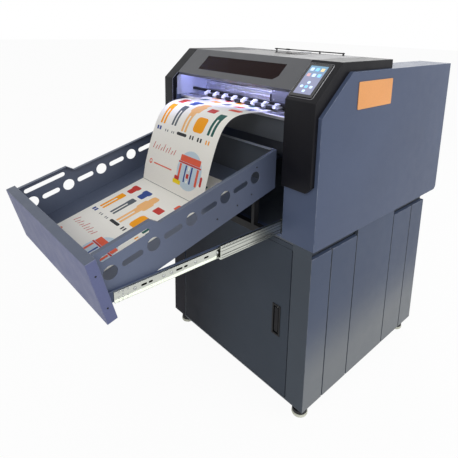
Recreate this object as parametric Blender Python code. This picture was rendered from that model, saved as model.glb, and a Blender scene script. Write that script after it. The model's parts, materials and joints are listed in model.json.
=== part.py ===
"""Sheet printer with an enclosed print engine, standing on a steel cabinet, with a pull-out catch tray.

Metres, +Z up. The design frame has x = 0 on the cabinet's centre line, y = 0 on the front face of the
upper housing, +Y towards the rear and z = 0 on the floor. Every solid is placed in that frame and moved
by CENTRE_SHIFT, so that the whole machine stands centred on the world origin.
"""
import math

import bmesh
import bpy
from mathutils import Matrix, Vector
from mathutils.geometry import tessellate_polygon

# ---------------------------------------------------------------- driving dimensions
GAP = 0.0003                # assembly gap between neighbouring solids
SHEET = 0.002               # folded steel sheet
SHELL = 0.003               # housing wall

# cabinet
FOOT_H = 0.048              # floor to cabinet underside
FOOT_D = 0.058
FOOT_PAD_H = 0.014
FOOT_STEM_D = 0.012
FOOT_INSET = 0.040
CAB_HALF = 0.354
CAB_FRONT = 0.002
CAB_DEPTH = 0.720
CAB_TOP = FOOT_H + 0.539
SIDE_T = 0.014              # depth of the folded side panels
BASE_T = 0.006
POST = 0.026
RAIL_H = 0.016              # top ring of the cabinet frame
GROOVES = tuple(CAB_FRONT + CAB_DEPTH * k / 720 for k in (102, 241, 483, 620))
GROOVE_W = 0.004
GROOVE_D = 0.008
DOOR_HALF = CAB_HALF - 0.074
DOOR_SEAM = 0.003
DOOR_T = 0.020
DOOR_TOP = CAB_TOP
HINGE_R = 0.008             # rounding of the door edge about its hinge rod
HINGE_ROD_D = 0.006
STILE = 0.018
LATCH_X = DOOR_HALF - 0.0525
LATCH_Z = (FOOT_H + CAB_TOP) / 2 + 0.002
LATCH_W = 0.035
LATCH_H = 0.111
LATCH_D = 0.014

# upper housing
BODY_RIGHT = CAB_HALF + 0.006
BODY_LEFT = -(CAB_HALF + 0.036)
BODY_DEPTH = 0.808
BODY_BOTTOM = CAB_TOP + 0.026
BODY_TOP = BODY_BOTTOM + 0.517
NOSE_Z = BODY_TOP - 0.120              # where the side's front chamfer starts
NOSE_Y = 0.134
HEEL = 0.012                # small cut at the lower rear corner
BAY_MID = -0.046            # centre line of the tray bay
BAY_HALF = CAB_HALF - 0.074
BAY_L, BAY_R = BAY_MID - BAY_HALF, BAY_MID + BAY_HALF
SILL_TOP = BODY_BOTTOM + 0.011
SILL_D = 0.020
DECK_Z = BODY_BOTTOM + 0.291
DECK_T = 0.004
DECK_FRONT = 0.044
APRON_Y = 0.040
APRON_BOTTOM = DECK_Z - 0.002

# front covers
BEZEL_Y = -0.0177           # front face of the bezels
BEZEL_BOTTOM = BODY_BOTTOM + 0.178
COVER_TOP = BODY_TOP + 0.028
KNEE_Z = COVER_TOP - 0.107
SLOPE_END_Y = 0.098
COVER_REAR = 0.375
BEZEL_R_IN = BAY_R + 0.004
BEZEL_R_OUT = BODY_RIGHT - 0.0124
BEZEL_L_IN = BAY_L - 0.002
BEZEL_L_OUT = BODY_LEFT + 0.010
BEZEL_CHAMFER = 0.020
BEZEL_ROUND = 0.006
HOOD_LIP = 0.034            # along the slope from the knee to the hood's lower edge
HOOD_GAP = 0.0006
HINGE_Y = COVER_REAR - 0.009
HINGE_Z = COVER_TOP - 0.011
HINGE_PIN_D = 0.008
WINDOW_X0, WINDOW_X1 = BEZEL_L_IN + 0.099, BEZEL_R_IN - 0.080
WINDOW_T0, WINDOW_T1 = 0.062, 0.1285
WINDOW_CUT = 0.016
WINDOW_T = 0.002
TOPWIN_X0, TOPWIN_X1 = BEZEL_L_IN + 0.092, BEZEL_R_IN - 0.163
TOPWIN_Y0, TOPWIN_Y1 = SLOPE_END_Y + 0.020, COVER_REAR - 0.035
SCREEN_X0, SCREEN_X1 = BEZEL_R_IN + 0.015, BEZEL_R_OUT - 0.0336
SCREEN_T0, SCREEN_T1 = 0.025, 0.132
SCREEN_RIM = 0.009
SCREEN_H = 0.0020
PLATE_Y0, PLATE_Y1 = 0.166, 0.360
PLATE_Z0, PLATE_Z1 = BODY_TOP - 0.113, BODY_TOP - 0.030
PLATE_T = 0.002

# print engine
PLATEN_Z = DECK_Z + 0.084
PLATEN_T = 0.012
PLATEN_FRONT = 0.018
ROLLER_Y = 0.062
FEED_D = 0.020
PINCH_D = 0.013
PINCH_SHAFT_D = 0.006
PINCH_N = 7
PINCH_PITCH = 0.050
PINCH_MID = BAY_MID
PINCH_W = 0.026
MEDIA_T = 0.0008
BEAM_Y0, BEAM_Y1 = 0.140, 0.170
BEAM_Z0, BEAM_Z1 = PLATEN_Z + 0.014, PLATEN_Z + 0.046
CARRIAGE_X0 = BAY_R - 0.154
CARRIAGE_W = 0.124
CARRIAGE_FRONT = 0.096
CARRIAGE_Z0, CARRIAGE_Z1 = PLATEN_Z + 0.0085, PLATEN_Z + 0.072
CARRIAGE_END = 0.012        # running distance left at the right end
TABLE_FRONT = 0.300
TABLE_REAR = 0.640

# catch tray, pulled out
TILT = math.radians(15.2)
TRAY_Y = -0.551             # lower front edge of the tray's side walls
TRAY_Z = SILL_TOP + 0.004
TRAY_HALF = BAY_HALF - 0.022
TRAY_REAR = -0.014
WALL_H = 0.116
WALL_HIGH = WALL_H + 0.0205
WALL_STEP0, WALL_STEP1 = 0.150, 0.170
FLANGE = 0.012
FLOOR_N = 0.008
HOLE_S, HOLE_PITCH, HOLE_N = 0.024, 0.0579, WALL_H - 0.0434
HOLE_D = 0.036
SLOT_L, SLOT_H = 0.056, 0.016
HAND_S0, HAND_S1, HAND_N, HAND_H = 0.012, 0.140, WALL_HIGH - 0.022, 0.014
FRONT_T = 0.026
FRONT_HALF = BAY_HALF - 0.002
FRONT_LOW = 0.030
FRONT_HIGH = WALL_HIGH + 0.0022

# ball-bearing slides
SLIDE_Z = SILL_TOP + 0.024
SLIDE_T = 0.0127
SLIDE_SHEET = 0.0015
OUTER_H = 0.044
INNER_H = 0.028
RACE = 0.0008               # clearance of the ball races
OUTER_Y0, OUTER_Y1 = 0.006, 0.566
MID_Y0, MID_Y1 = -0.242, 0.288
INNER_Y0, INNER_Y1 = TRAY_Y + 0.005, TRAY_REAR + 0.028

# printed sheets
SHEET_W = BAY_HALF + 0.049
SHEET_X0 = BAY_R - 0.117 - SHEET_W
LYING_S0, LYING_S1 = 0.003, 0.486
LYING_X0 = SHEET_X0 - 0.006
SHEET_END = 0.091

CENTRE_SHIFT = Vector((-(BODY_LEFT + BODY_RIGHT + PLATE_T + GAP) / 2,
                       -(BODY_DEPTH + TRAY_Y - FRONT_T * math.cos(TILT) - FRONT_HIGH * math.sin(TILT)) / 2,
                       0.0))

# ---------------------------------------------------------------- derived places
CAB_REAR = CAB_FRONT + CAB_DEPTH
SLOPE = Vector((SLOPE_END_Y - BEZEL_Y, COVER_TOP - KNEE_Z)).normalized()
SLOPE_N = Vector((-SLOPE.y, SLOPE.x))
SLOPE_LEN = math.hypot(SLOPE_END_Y - BEZEL_Y, COVER_TOP - KNEE_Z)

COLOURS = {
    "blue_grey": ((0.115, 0.140, 0.215), 0.42, 0.0),
    "slate": ((0.060, 0.078, 0.105), 0.50, 0.0),
    "dark_front": ((0.035, 0.042, 0.055), 0.45, 0.0),
    "hood_grey": ((0.130, 0.134, 0.145), 0.42, 0.0),
    "black": ((0.012, 0.011, 0.014), 0.38, 0.0),
    "tinted": ((0.012, 0.006, 0.008), 0.05, 0.0),
    "steel": ((0.560, 0.570, 0.560), 0.28, 1.0),
    "alloy": ((0.620, 0.620, 0.640), 0.35, 1.0),
    "cream": ((0.760, 0.770, 0.660), 0.50, 0.0),
    "white": ((0.800, 0.800, 0.800), 0.40, 0.0),
    "rubber": ((0.020, 0.020, 0.022), 0.80, 0.0),
    "orange": ((0.750, 0.280, 0.060), 0.40, 0.0),
    "paper": ((0.800, 0.790, 0.720), 0.75, 0.0),
    "screen": ((0.100, 0.280, 0.700), 0.15, 0.0),
    "light": ((0.550, 0.580, 1.000), 0.40, 0.0),
}


# ---------------------------------------------------------------- modelling helpers
def material(name):
    mat = bpy.data.materials.get(name)
    if mat is None:
        colour, rough, metal = COLOURS[name]
        mat = bpy.data.materials.new(name)
        mat.use_nodes = True
        shader = mat.node_tree.nodes["Principled BSDF"]
        shader.inputs["Base Color"].default_value = (*colour, 1.0)
        shader.inputs["Roughness"].default_value = rough
        shader.inputs["Metallic"].default_value = metal
        mat.diffuse_color = (*colour, 1.0)
    return mat


def add(name, verts, faces, colour, smooth=False):
    """One closed mesh object from design-frame vertices."""
    bm = bmesh.new()
    made = [bm.verts.new(Vector(v) + CENTRE_SHIFT) for v in verts]
    for face in faces:
        bm.faces.new([made[i] for i in face])
    bmesh.ops.recalc_face_normals(bm, faces=bm.faces)
    mesh = bpy.data.meshes.new(name)
    bm.to_mesh(mesh)
    bm.free()
    obj = bpy.data.objects.new(name, mesh)
    bpy.context.scene.collection.objects.link(obj)
    mesh.materials.append(material(colour))
    if smooth:
        mesh.shade_smooth()
        mesh.set_sharp_from_angle(angle=math.radians(35))
    return obj


def spread(axis, u, v, w):
    """A point from its two in-plane values and its place along the extrusion axis."""
    if axis == "X":
        return (w, u, v)
    if axis == "Y":
        return (u, w, v)
    return (u, v, w)


def prism(name, axis, w0, w1, outline, colour, holes=(), smooth=False):
    """An outline with any holes, extruded along one axis."""
    loops = [list(outline)] + [list(h) for h in holes]
    flat = [p for loop in loops for p in loop]
    tris = tessellate_polygon([[Vector((p[0], p[1], 0.0)) for p in loop] for loop in loops])
    count = len(flat)
    verts = [spread(axis, p[0], p[1], w0) for p in flat] + [spread(axis, p[0], p[1], w1) for p in flat]
    faces = [tuple(t) for t in tris] + [tuple(i + count for i in reversed(t)) for t in tris]
    start = 0
    for loop in loops:
        size = len(loop)
        for i in range(size):
            a, b = start + i, start + (i + 1) % size
            faces.append((a, b, b + count, a + count))
        start += size
    return add(name, verts, faces, colour, smooth)


def box(name, x0, x1, y0, y1, z0, z1, colour):
    return prism(name, "Z", z0, z1, [(x0, y0), (x1, y0), (x1, y1), (x0, y1)], colour)


def circle(u, v, radius, steps=20):
    return [(u + radius * math.cos(2 * math.pi * i / steps), v + radius * math.sin(2 * math.pi * i / steps))
            for i in range(steps)]


def pill(u, v, length, height, steps=8):
    """A slot outline with round ends, along the first in-plane axis."""
    r = height / 2
    out = []
    for side, centre in ((1, u + length / 2 - r), (-1, u - length / 2 + r)):
        for i in range(steps + 1):
            a = -math.pi / 2 + math.pi * i / steps
            out.append((centre + side * r * math.cos(a), v + side * r * math.sin(a)))
    return out


def turned(name, axis, centre, profile, colour, steps=24):
    """A solid of revolution: profile rows are (distance along the axis, radius)."""
    verts, faces = [], []
    cu, cv = centre
    for w, r in profile:
        for i in range(steps):
            a = 2 * math.pi * i / steps
            verts.append(spread(axis, cu + r * math.cos(a), cv + r * math.sin(a), w))
    for row in range(len(profile) - 1):
        for i in range(steps):
            j = (i + 1) % steps
            a, b = row * steps, (row + 1) * steps
            faces.append((a + i, a + j, b + j, b + i))
    faces.append(tuple(range(steps)))
    last = (len(profile) - 1) * steps
    faces.append(tuple(last + i for i in reversed(range(steps))))
    return add(name, verts, faces, colour, smooth=True)


def combine(base, operation, *tools):
    """Boolean the tools into the base one after another and drop them."""
    for tool in tools:
        mod = base.modifiers.new("join", "BOOLEAN")
        mod.operation = operation
        mod.solver = "EXACT"
        mod.object = tool
        bpy.context.view_layer.update()
        graph = bpy.context.evaluated_depsgraph_get()
        mesh = bpy.data.meshes.new_from_object(base.evaluated_get(graph))
        old = base.data
        base.modifiers.clear()
        base.data = mesh
        mesh.name = base.name
        bpy.data.meshes.remove(old)
        waste = tool.data
        bpy.data.objects.remove(tool)
        bpy.data.meshes.remove(waste)
    bm = bmesh.new()
    bm.from_mesh(base.data)
    bmesh.ops.remove_doubles(bm, verts=bm.verts, dist=1e-6)
    bmesh.ops.dissolve_degenerate(bm, edges=bm.edges, dist=1e-6)
    bm.to_mesh(base.data)
    bm.free()
    return base


def join(base, *tools):
    return combine(base, "UNION", *tools)


def cut(base, *tools):
    return combine(base, "DIFFERENCE", *tools)


def round_edges(obj, width, pick, segments=3):
    """Bevel the edges whose midpoint and direction the test accepts (design frame)."""
    bm = bmesh.new()
    bm.from_mesh(obj.data)
    chosen = []
    for edge in bm.edges:
        a, b = (v.co - CENTRE_SHIFT for v in edge.verts)
        if len(edge.link_faces) == 2 and edge.calc_face_angle(0.0) > 0.2 and pick((a + b) / 2, (b - a).normalized()):
            chosen.append(edge)
    bmesh.ops.bevel(bm, geom=chosen, offset=width, segments=segments, profile=0.5, affect="EDGES",
                    clamp_overlap=True)
    bmesh.ops.recalc_face_normals(bm, faces=bm.faces)
    bm.to_mesh(obj.data)
    bm.free()
    obj.data.shade_smooth()
    obj.data.set_sharp_from_angle(angle=math.radians(35))
    return obj


def on_slope(t, lift=0.0):
    """(y, z) a distance t up the sloping cover plane from its knee, lifted off it."""
    return (BEZEL_Y + SLOPE.x * t + SLOPE_N.x * lift, KNEE_Z + SLOPE.y * t + SLOPE_N.y * lift)


def in_tray(s, n):
    """(y, z) of a point s along the tray's sloping floor and n above it."""
    return (TRAY_Y + s * math.cos(TILT) - n * math.sin(TILT), TRAY_Z + s * math.sin(TILT) + n * math.cos(TILT))


def tray_end(n, y=TRAY_REAR):
    """How far along the floor the vertical plane y is met at height n."""
    return (y - TRAY_Y + n * math.sin(TILT)) / math.cos(TILT)


def joint_empty(name, x, y, z):
    empty = bpy.data.objects.new(name, None)
    empty.empty_display_size = 0.05
    empty.location = Vector((x, y, z)) + CENTRE_SHIFT
    bpy.context.scene.collection.objects.link(empty)
    return empty


def hang(empty, *objects):
    """Move each object's origin to the joint and parent it there."""
    for obj in objects:
        obj.data.transform(Matrix.Translation(-empty.location))
        obj.parent = empty


# ---------------------------------------------------------------- cabinet
def make_feet():
    for side, x in (("left", -CAB_HALF + FOOT_INSET), ("right", CAB_HALF - FOOT_INSET)):
        for end, y in (("front", CAB_FRONT + FOOT_INSET), ("rear", CAB_REAR - FOOT_INSET)):
            r, stem = FOOT_D / 2, FOOT_STEM_D / 2
            turned("foot_%s_%s" % (end, side), "Z", (x, y), [
                (0.0, r - 0.002), (0.002, r), (FOOT_PAD_H - 0.005, r - 0.001), (FOOT_PAD_H, r - 0.008),
                (FOOT_PAD_H + 0.001, stem + 0.005), (FOOT_PAD_H + 0.009, stem + 0.005),
                (FOOT_PAD_H + 0.009, stem), (FOOT_H - 0.008, stem), (FOOT_H - 0.008, stem + 0.005),
                (FOOT_H - GAP, stem + 0.005)], "cream", steps=20)


def make_cabinet_frame():
    x = CAB_HALF - SIDE_T - GAP
    y0, y1 = CAB_FRONT + GAP, CAB_REAR - 0.0115
    z0, z1 = FOOT_H, BODY_BOTTOM - 0.009
    ret, yb = DOOR_HALF + DOOR_SEAM / 2 - GAP, CAB_FRONT + DOOR_T + GAP
    base = box("cabinet_frame", -x, x, yb, y1, z0, z0 + BASE_T, "slate")
    join(base, box("tongue", -ret, ret, y0, yb + 0.002, z0 + 0.0004, z0 + BASE_T - 0.0004, "slate"))
    posts = []
    inner = DOOR_T + 0.003
    for sx in (-1, 1):
        for a, b in ((CAB_FRONT + inner, CAB_FRONT + inner + POST), (y1 - 0.001 - POST, y1 - 0.001)):
            xs = sorted((sx * (x - 0.001), sx * (x - 0.001 - POST)))
            posts.append(box("post", xs[0], xs[1], a, b, z0 + BASE_T / 2, z1 - RAIL_H / 2, "slate"))
    ring = prism("ring", "Z", z1 - RAIL_H, z1, [(-x, y0), (x, y0), (x, y1), (-x, y1)], "slate",
                 holes=[[(-x + POST - 0.004, y0 + POST + inner), (x - POST + 0.004, y0 + POST + inner),
                         (x - POST + 0.004, y1 - POST + 0.004), (-x + POST - 0.004, y1 - POST + 0.004)]])
    return join(base, *posts, ring)


def make_cabinet_sides():
    z0, z1, t = FOOT_H, CAB_TOP, SIDE_T
    for name, sx in (("cabinet_side_right", 1), ("cabinet_side_left", -1)):
        out, inn = CAB_HALF, CAB_HALF - t
        ret = DOOR_HALF + DOOR_SEAM / 2
        pts = [(ret, CAB_FRONT), (out, CAB_FRONT)]
        for g in GROOVES:
            pts += [(out, g - GROOVE_W / 2), (out - GROOVE_D, g - GROOVE_W / 2),
                    (out - GROOVE_D, g + GROOVE_W / 2), (out, g + GROOVE_W / 2)]
        pts += [(out, CAB_REAR), (inn, CAB_REAR), (inn, CAB_FRONT + DOOR_T), (ret, CAB_FRONT + DOOR_T)]
        side = prism(name, "Z", z0, z1, [(sx * px, py) for px, py in pts], "blue_grey")
        xs = sorted((sx * inn, sx * out))
        a, b = GROOVES[1] + GROOVE_W / 2, GROOVES[2] - GROOVE_W / 2
        join(side, box("riser", xs[0], xs[1], a, b, z1 - 0.02, BODY_BOTTOM - GAP, "blue_grey"))


def make_cabinet_back():
    x = CAB_HALF - SIDE_T - GAP
    slots = [pill(0.0, FOOT_H + 0.372 + 0.018 * i, 0.30, 0.006, 6) for i in range(6)]
    prism("cabinet_back", "Y", CAB_REAR - 0.011, CAB_REAR, [
        (-x, FOOT_H), (x, FOOT_H), (x, BODY_BOTTOM - 0.009), (-x, BODY_BOTTOM - 0.009)], "slate", holes=slots)


def make_door():
    x0, x1 = -DOOR_HALF + DOOR_SEAM / 2, DOOR_HALF - DOOR_SEAM / 2
    y0, y1 = CAB_FRONT, CAB_FRONT + DOOR_T
    z0, z1 = FOOT_H + BASE_T + 0.002, DOOR_TOP
    r = HINGE_R
    corner = [(x0 + r - r * math.cos(a), y0 + r - r * math.sin(a)) for a in
              (math.pi / 2 * i / 6 for i in range(7))]
    rod = circle(x0 + r, y0 + r, HINGE_ROD_D / 2 + GAP, 12)
    door = prism("door", "Z", z0, z1, [(x0, y1)] + corner + [(x1, y0), (x1, y1)], "dark_front", holes=[rod])
    cut(door, box("pocket", x0 + STILE, x1 - SHEET, y0 + SHEET, y1 + 0.01, z0 + SHEET, z1 - SHEET, "slate"))
    cut(door, box("latch_hole", LATCH_X - LATCH_W / 2 + 0.003, LATCH_X + LATCH_W / 2 - 0.003, y0 - 0.01,
                  y0 + 0.01, LATCH_Z - LATCH_H / 2 + 0.003, LATCH_Z + LATCH_H / 2 - 0.003, "slate"))
    rod_z1 = BODY_BOTTOM - 0.009 - RAIL_H - GAP
    turned("door_hinge_rod", "Z", (x0 + r, y0 + r), [(FOOT_H + BASE_T + GAP, HINGE_ROD_D / 2),
                                                     (rod_z1, HINGE_ROD_D / 2)], "steel", steps=12)
    # latch: a black pan let into the door, with a lift handle inside it
    lx0, lx1 = LATCH_X - LATCH_W / 2, LATCH_X + LATCH_W / 2
    lz0, lz1 = LATCH_Z - LATCH_H / 2, LATCH_Z + LATCH_H / 2
    i = 0.003 + GAP
    pan = box("door_latch", lx0 + i, lx1 - i, y0 - 0.001, y0 + LATCH_D, lz0 + i, lz1 - i, "black")
    join(pan, box("flange", lx0, lx1, y0 - 0.0022, y0 - GAP, lz0, lz1, "black"))
    cut(pan, box("recess", lx0 + 0.006, lx1 - 0.006, y0 - 0.01, y0 + LATCH_D - 0.002, lz0 + 0.006,
                 lz1 - 0.006, "black"))
    hz = lz0 + 0.012
    handle = prism("latch_handle", "X", LATCH_X - 0.008, LATCH_X + 0.008, [
        (y0 + 0.0015, hz - 0.004), (y0 + 0.0085, hz - 0.004), (y0 + 0.0085, hz + 0.006), (y0 + 0.004, hz + 0.016),
        (y0 + 0.004, lz1 - 0.010), (y0 - 0.0008, lz1 - 0.012), (y0 - 0.0008, hz + 0.004)], "black")
    join(handle, prism("pin", "X", lx0 + 0.006 + GAP, lx1 - 0.006 - GAP, circle(y0 + 0.005, hz, 0.0025, 10), "black"))
    return door, pan, handle, (x0 + r, y0 + r), (y0 + 0.005, hz)


# ---------------------------------------------------------------- upper housing
def end_box(name, x_in, x_out, vents):
    """A folded side housing: outer skin, wrapped front, top and rear, and the bay's own side wall."""
    outline = [(0.0, BODY_BOTTOM), (BODY_DEPTH - HEEL, BODY_BOTTOM), (BODY_DEPTH, BODY_BOTTOM + HEEL),
               (BODY_DEPTH, BODY_TOP), (NOSE_Y, BODY_TOP), (0.0, NOSE_Z)]
    w = SHELL
    k = math.atan2(BODY_TOP - NOSE_Z, NOSE_Y)
    core = [(w, BODY_BOTTOM + w), (BODY_DEPTH - HEEL - w, BODY_BOTTOM + w), (BODY_DEPTH - w, BODY_BOTTOM + HEEL + w),
            (BODY_DEPTH - w, BODY_TOP - w), (NOSE_Y + w * math.tan(k / 2), BODY_TOP - w),
            (w, NOSE_Z - w * math.tan((math.pi / 2 - k) / 2))]
    a, b = sorted((x_in, x_out))
    shell = prism(name, "X", a, b, outline, "blue_grey")
    cut(shell, prism("core", "X", a + w, b - w, core, "slate"))
    mid = (a + b) / 2
    for z in vents:
        cut(shell, box("vent", mid - 0.028, mid + 0.028, BODY_DEPTH - 0.02, BODY_DEPTH + 0.02, z, z + 0.006, "slate"))
    return shell


def make_housing():
    low = BODY_BOTTOM + 0.087
    right = end_box("end_box_right", BAY_R, BODY_RIGHT, [low + 0.02 * i for i in range(4)])
    left = end_box("end_box_left", BAY_L, BODY_LEFT, [low + 0.2 + 0.02 * i for i in range(4)])
    # socket opening for the mains inlet in the rear of the left housing
    ix, iz = (BODY_LEFT + BAY_L) / 2, BODY_BOTTOM + 0.112
    cut(left, box("inlet_hole", ix - 0.015, ix + 0.015, BODY_DEPTH - 0.02, BODY_DEPTH + 0.02, iz - 0.025,
                  iz + 0.025, "slate"))
    px = CAB_HALF - SIDE_T - GAP
    box("base_plate", -px, px, 0.004, CAB_REAR - 0.012, BODY_BOTTOM - 0.009 + GAP, BODY_BOTTOM - GAP, "slate")
    for obj in (right, left):
        round_edges(obj, 0.0025, lambda m, d: m.y < 0.001 and abs(d.x) < 0.1 and abs(d.z) > 0.9, 2)
    g = GAP
    box("sill", BAY_L + g, BAY_R - g, g, SILL_D, BODY_BOTTOM, SILL_TOP, "blue_grey")
    box("print_deck", BAY_L + g, BAY_R - g, DECK_FRONT, BODY_DEPTH - 0.007 - g, DECK_Z, DECK_Z + DECK_T, "slate")
    box("apron", BAY_L + g, BAY_R - g, APRON_Y, DECK_FRONT - g, APRON_BOTTOM, PLATEN_Z - PLATEN_T - g, "slate")
    slots = [pill(BAY_MID, BODY_BOTTOM + 0.167 + 0.02 * i, 0.24, 0.007, 6) for i in range(4)]
    prism("bay_back", "Y", BODY_DEPTH - 0.007, BODY_DEPTH - 0.004, [
        (BAY_L + g, BODY_BOTTOM + GAP), (BAY_R - g, BODY_BOTTOM + GAP), (BAY_R - g, DECK_Z + 0.05),
        (BAY_L + g, DECK_Z + 0.05)], "slate", holes=slots)
    plate = prism("side_plate", "X", BODY_RIGHT + g, BODY_RIGHT + g + PLATE_T, rounded(
        PLATE_Y0, PLATE_Y1, PLATE_Z0, PLATE_Z1, 0.004), "orange")
    # mains inlet with its rocker
    iy = BODY_DEPTH
    inlet = box("power_inlet", ix - 0.019, ix + 0.019, iy + g, iy + 0.003, iz - 0.031, iz + 0.031, "black")
    join(inlet, box("inlet_body", ix - 0.014, ix + 0.014, iy - 0.035, iy + 0.002, iz - 0.024, iz + 0.024, "black"))
    cut(inlet, box("socket", ix - 0.011, ix + 0.011, iy - 0.018, iy + 0.01, iz - 0.021, iz - 0.002, "black"))
    cut(inlet, box("well", ix - 0.010, ix + 0.010, iy - 0.012, iy + 0.01, iz + 0.002, iz + 0.021, "black"))
    prongs = [box("prong", ix + dx - 0.001, ix + dx + 0.001, iy - 0.020, iy - 0.003, pz, pz + 0.006, "steel")
              for dx, pz in ((-0.006, iz - 0.017), (0.0, iz - 0.012), (0.006, iz - 0.017))]
    join(inlet, *prongs)
    rz = iz + 0.0115
    rocker = prism("power_rocker", "X", ix - 0.0085, ix + 0.0085, [
        (iy - 0.007, rz - 0.004), (iy - 0.007, rz + 0.004), (iy + 0.0005, rz + 0.0080), (iy + 0.0050, rz + 0.0075),
        (iy + 0.0022, rz), (iy + 0.0022, rz - 0.0075), (iy - 0.0010, rz - 0.0080)], "black")
    join(rocker, prism("pivot", "X", ix - 0.010 + g, ix + 0.010 - g, circle(iy - 0.003, rz, 0.002, 10), "black"))
    return rocker, (ix, iy - 0.003, rz), plate


def rounded(u0, u1, v0, v1, r, steps=4):
    out = []
    for cu, cv, start in ((u1 - r, v1 - r, 0), (u0 + r, v1 - r, 1), (u0 + r, v0 + r, 2), (u1 - r, v0 + r, 3)):
        for i in range(steps + 1):
            a = math.pi / 2 * (start + i / steps)
            out.append((cu + r * math.cos(a), cv + r * math.sin(a)))
    return out


# ---------------------------------------------------------------- front covers and hood
def bezel(name, x0, x1, outer_side):
    """Black cover that caps the front of an end box: hollow, open towards the box."""
    g = GAP
    k = math.atan2(BODY_TOP - NOSE_Z, NOSE_Y)
    outline = [(BEZEL_Y, BEZEL_BOTTOM), (BEZEL_Y, KNEE_Z), (SLOPE_END_Y, COVER_TOP), (COVER_REAR, COVER_TOP),
               (COVER_REAR, BODY_TOP + g), (NOSE_Y - g * math.tan(k / 2), BODY_TOP + g),
               (-g, NOSE_Z + g * math.tan((math.pi / 2 - k) / 2)), (-g, BEZEL_BOTTOM)]
    cover = prism(name, "X", x0, x1, outline, "black")
    side = outer_side
    x_out = x1 if side > 0 else x0
    c = BEZEL_CHAMFER
    cut(cover, prism("corner", "Y", BEZEL_Y - 0.01, 0.01, [
        (x_out - side * c, BEZEL_BOTTOM - 0.001), (x_out + side * 0.001, BEZEL_BOTTOM - 0.001),
        (x_out + side * 0.001, BEZEL_BOTTOM + c)], "black"))

    def outer_edge(m, d):
        front = m.y < BEZEL_Y + 0.001 and m.z < KNEE_Z
        on_top = m.z > COVER_TOP - 0.001 and m.y > SLOPE_END_Y
        off = (m.y - BEZEL_Y) * SLOPE_N.x + (m.z - KNEE_Z) * SLOPE_N.y
        sloping = abs(off) < 0.001 and m.z > KNEE_Z and m.z < COVER_TOP
        bends = abs(d.x) > 0.9 and (abs(m.z - KNEE_Z) < 0.001 or (abs(m.z - COVER_TOP) < 0.001))
        return front or on_top or sloping or bends
    round_edges(cover, BEZEL_ROUND, outer_edge, 3)
    w = 0.004
    core = [(BEZEL_Y + w, BEZEL_BOTTOM + BEZEL_CHAMFER + 0.004), (BEZEL_Y + w, KNEE_Z - w * 0.4),
            (SLOPE_END_Y + w * 0.4, COVER_TOP - w), (COVER_REAR - w, COVER_TOP - w), (COVER_REAR - w, BODY_TOP - 0.002),
            (NOSE_Y, BODY_TOP - 0.002), (0.002, NOSE_Z), (0.002, BEZEL_BOTTOM + BEZEL_CHAMFER + 0.004)]
    cut(cover, prism("core", "X", x0 + w, x1 - w, core, "black"))
    xin = x0 if side > 0 else x1
    cut(cover, prism("pin_hole", "X", xin - 0.006, xin + 0.006, circle(HINGE_Y, HINGE_Z, HINGE_PIN_D / 2 + GAP, 14),
                     "black"))
    return cover


def make_covers():
    bezel("bezel_right", BEZEL_R_IN, BEZEL_R_OUT, 1)
    bezel("bezel_left", BEZEL_L_OUT, BEZEL_L_IN, -1)
    x0, x1 = SCREEN_X0 - SCREEN_RIM, SCREEN_X1 + SCREEN_RIM
    t0, t1 = SCREEN_T0 - SCREEN_RIM, SCREEN_T1 + SCREEN_RIM
    slab = [on_slope(t0, GAP), on_slope(t1, GAP), on_slope(t1, SCREEN_H), on_slope(t0, SCREEN_H)]
    prism("touch_panel", "X", x0, x1, slab, "tinted")
    face = [on_slope(SCREEN_T0, SCREEN_H + GAP), on_slope(SCREEN_T1, SCREEN_H + GAP),
            on_slope(SCREEN_T1, SCREEN_H + 0.0009), on_slope(SCREEN_T0, SCREEN_H + 0.0009)]
    prism("touch_display", "X", SCREEN_X0, SCREEN_X1, face, "screen")


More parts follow.
